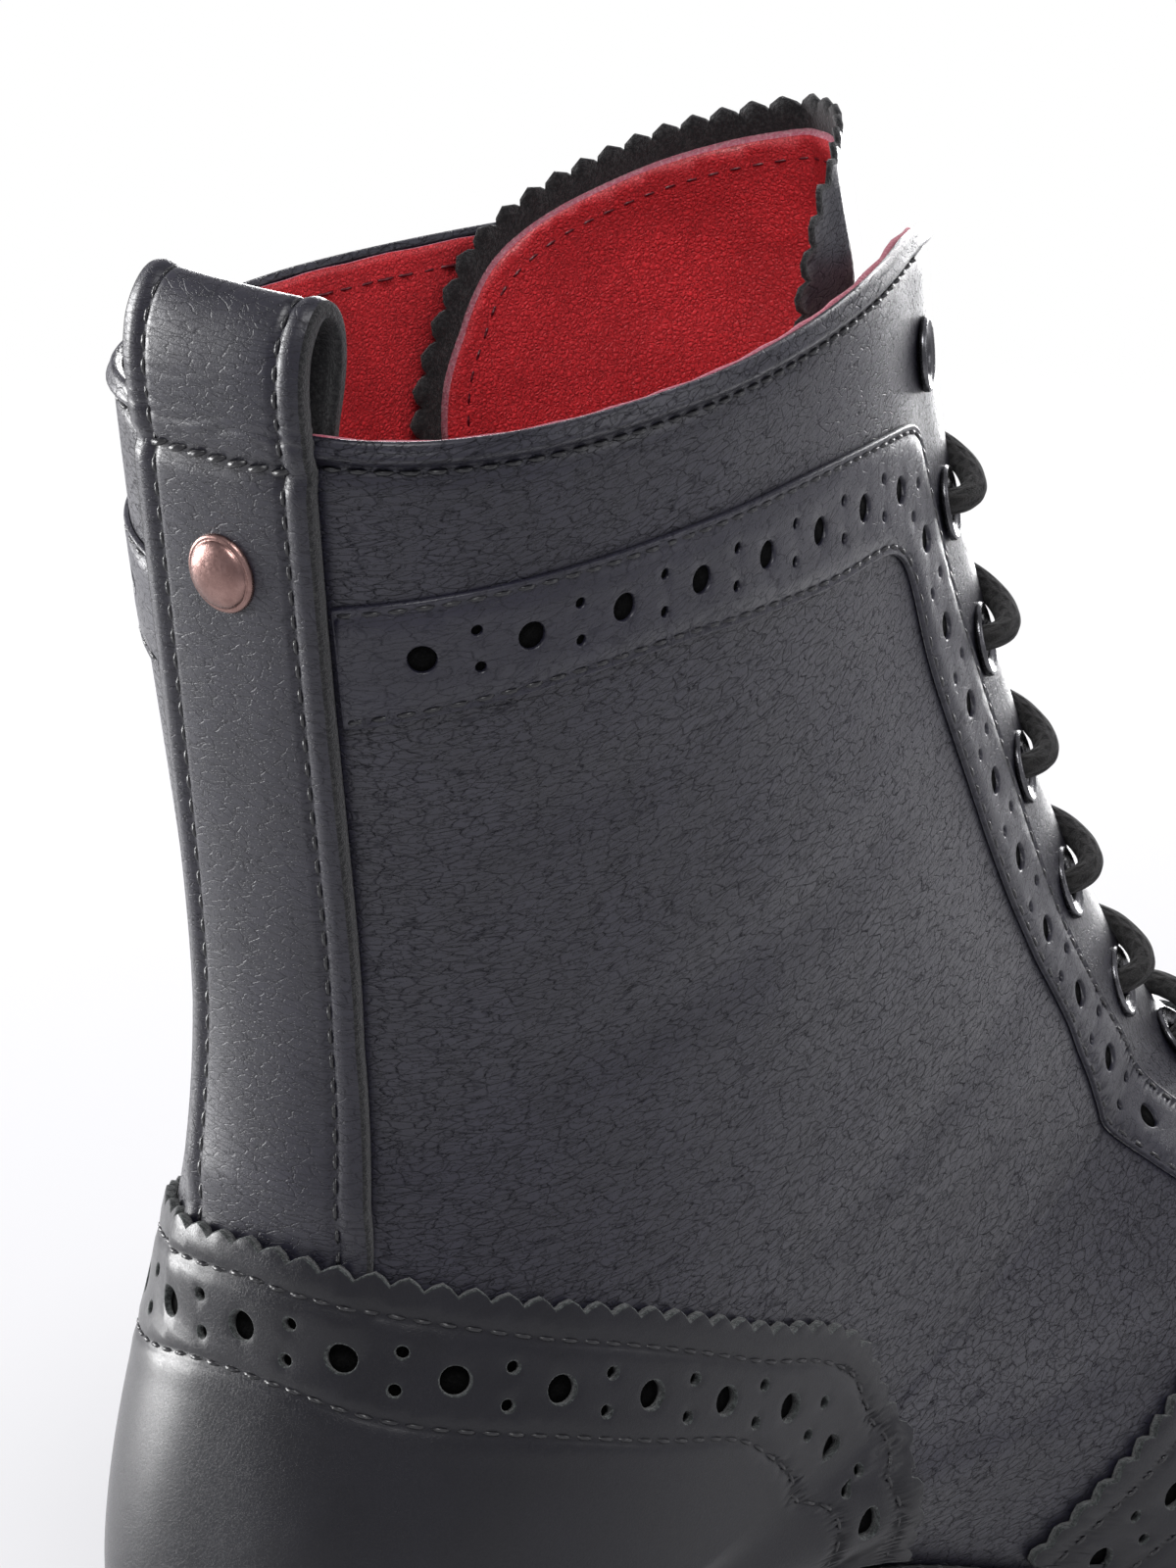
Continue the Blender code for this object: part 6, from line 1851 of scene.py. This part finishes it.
def build_stage():
    """Pale floor, white surround, soft lights and the camera."""
    far = FLOOR_REACH
    corners = [(-far, -far, 0), (far, -far, 0), (far, far, 0), (-far, far, 0)]
    mesh = bpy.data.meshes.new("floor")
    mesh.from_pydata(corners, [], [(0, 1, 2, 3)])
    floor = bpy.data.objects.new("floor", mesh)
    bpy.context.scene.collection.objects.link(floor)
    pale = Finish("pale floor", (0.82, 0.82, 0.82), 0.8, specular=0.0)
    spot = pale.node("ShaderNodeVectorMath", {"operation": "LENGTH"}, {0: pale.place()}, "Value")
    pale.set("Alpha", pale.ramp(spot, *FLOOR_FADE, 1.0, 0.0))
    mesh.materials.append(pale.material)
    world = bpy.data.worlds.new("white surround")
    world.use_nodes = True
    tree = world.node_tree
    shade = tree.nodes["Background"]
    shade.inputs["Color"].default_value = (*SURROUND_COLOUR, 1)
    shade.inputs["Strength"].default_value = SURROUND
    white = tree.nodes.new("ShaderNodeBackground")
    white.inputs["Color"].default_value = (1, 1, 1, 1)
    ray, mix = tree.nodes.new("ShaderNodeLightPath"), tree.nodes.new("ShaderNodeMixShader")
    tree.links.new(ray.outputs["Is Camera Ray"], mix.inputs[0])
    tree.links.new(shade.outputs[0], mix.inputs[1])
    tree.links.new(white.outputs[0], mix.inputs[2])
    tree.links.new(mix.outputs[0], tree.nodes["World Output"].inputs["Surface"])
    bpy.context.scene.world = world
    bpy.context.scene.view_settings.view_transform = "Standard"
    for name, place, size, power in SOFT_LIGHTS:
        light = bpy.data.lights.new(name, "AREA")
        light.energy, light.size, light.shape = power, size, "DISK"
        lamp = bpy.data.objects.new(name, light)
        bpy.context.scene.collection.objects.link(lamp)
        lamp.location = place
        lamp.rotation_mode = "QUATERNION"
        lamp.rotation_quaternion = (Vector(LIGHTS_AIM) - Vector(place)).to_track_quat("-Z", "Y")
    azimuth, elevation = math.radians(CAMERA_AZIMUTH), math.radians(CAMERA_ELEVATION)
    level = math.cos(elevation)
    back = np.array([math.sin(azimuth) * level, -math.cos(azimuth) * level, math.sin(elevation)])
    right = np.array([math.cos(azimuth), math.sin(azimuth), 0.0])
    up = np.cross(back, right)
    x = (STRAP_MARK_PIXEL[0] - FRAME_WIDTH / 2) / CAMERA_FOCAL * CAMERA_DISTANCE
    y = (FRAME_HEIGHT / 2 - STRAP_MARK_PIXEL[1]) / CAMERA_FOCAL * CAMERA_DISTANCE
    eye = np.array(STRAP_MARK) - x * right - y * up + CAMERA_DISTANCE * back
    camera = bpy.data.cameras.new("camera")
    camera.sensor_fit, camera.sensor_height, camera.sensor_width = "VERTICAL", 24.0, 18.0
    camera.lens = CAMERA_FOCAL / FRAME_HEIGHT * camera.sensor_height
    camera.clip_start = 0.05
    stand = bpy.data.objects.new("camera", camera)
    bpy.context.scene.collection.objects.link(stand)
    stand.matrix_world = Matrix([[*(right[k], up[k], back[k]), eye[k]] for k in range(3)] + [[0, 0, 0, 1]])
    bpy.context.scene.camera = stand


def collar_stitches():
    """Stitches along the collar: on the outside through the bead's seam, and inside on the lining."""
    outside, inside_rows = [], []
    for side in (OUTER, INNER):
        along = np.linspace(0.897, 0.085, 200)
        spots = np.stack([dropped(np.full(200, COLLAR_SEAM / COLLAR_ROW), along), along], -1)
        outside.append(stitch_row(*laid(side, spots, -0.5 * GROOVE_DEPTH)))
        points, outs = laid(side, spots, -WALL - 0.00005)
        inside_rows.append(stitch_row(points, -outs, thickness=0.0004))
    return outside, inside_rows


def main():
    long = (3.4, 3.4, 1.0)
    black = grained_leather(
        "shaft leather", (0.011, 0.0104, 0.0195), 0.37, 0.0009, 0.0003, long, (0, -0.2, 0), shine=0.85,
        wrinkle=0.9,
    )
    band = grained_leather(
        "band leather", (0.010, 0.0094, 0.0190), 0.38, 0.001, 0.00018, long, (0, -0.3, 0), shine=0.8,
        wrinkle=0.6,
    )
    gloss = grained_leather(
        "smooth leather", (0.004, 0.004, 0.007), 0.32, 0.0006, 0.0001, shine=0.42, wrinkle=0.2
    )
    strap = grained_leather(
        "strap leather", (0.009, 0.0085, 0.0165), 0.38, 0.0009, 0.00018, long, shine=0.75, wrinkle=0.6
    )
    red = grained_leather(
        "red lining", (0.76, 0.046, 0.056), 0.36, 0.0006, 0.00036, shine=0.7, wrinkle=0.6, soft=0.32
    )
    # Near-black matt finish for the floors in the punches: painted shade inside the holes.
    painted_hole_shade = raw_edge("painted shade inside punches", (0.002, 0.002, 0.002), (0.006, 0.006, 0.006), 0.0, 0.08)
    flesh = raw_edge("cut leather edge", (0.018, 0.021, 0.021), (0.10, 0.115, 0.11))
    charcoal = raw_edge("dark cut edge", (0.008, 0.008, 0.009), (0.045, 0.045, 0.045))
    pink = raw_edge("raw lining edge", (0.55, 0.10, 0.16), (0.85, 0.36, 0.42))
    thread = thread_finish("black thread", (0.010, 0.010, 0.012))
    wine = thread_finish("dark red thread", (0.10, 0.006, 0.012))
    gunmetal = metal_finish("gunmetal", (0.10, 0.10, 0.105), 0.16, (0.18, 0.18, 0.19))
    copper = metal_finish("dark copper", (0.24, 0.145, 0.13), 0.24, (0.32, 0.20, 0.18))
    cord = woven_cord("lace weave", (0.010, 0.0095, 0.009))
    sole = rubber_finish("sole rubber", (0.018, 0.018, 0.018), 0.62)
    welt_leather = layered_finish("welt leather", (0.020, 0.019, 0.019), 0.5, 0.0012)
    stack = layered_finish("heel layers", (0.030, 0.026, 0.024), 0.42, 0.0033)
    rubber = rubber_finish("top lift rubber", (0.014, 0.014, 0.014), 0.75)
    places = eyelet_places()
    build_upper_skin(places, black)
    build_lining(places, red, pink)
    smooth = [gloss, flesh, painted_hole_shade]
    rows = {"quarter_stitches": build_bands(band, painted_hole_shade)}
    rows["counter_stitches"] = build_counter(smooth)
    rows["vamp_stitches"] = build_vamp(smooth)
    rows["cap_stitches"] = build_wing_cap(smooth)
    rows["strap_stitches"] = build_back_strap(strap, charcoal)
    collar, rows["lining_stitches"] = collar_stitches()
    rows["quarter_stitches"] += collar
    build_stud(copper)
    build_eyelets(places, gunmetal)
    build_lace(places, cord)
    rows["lining_stitches"].append(build_tongue(black, charcoal, red, pink))
    rows["welt_stitches"] = build_soles(sole, welt_leather, red)
    build_heel(stack, rubber)
    for name, listed in rows.items():
        stitching(name, listed, wine if name == "lining_stitches" else thread)
    build_stage()


main()
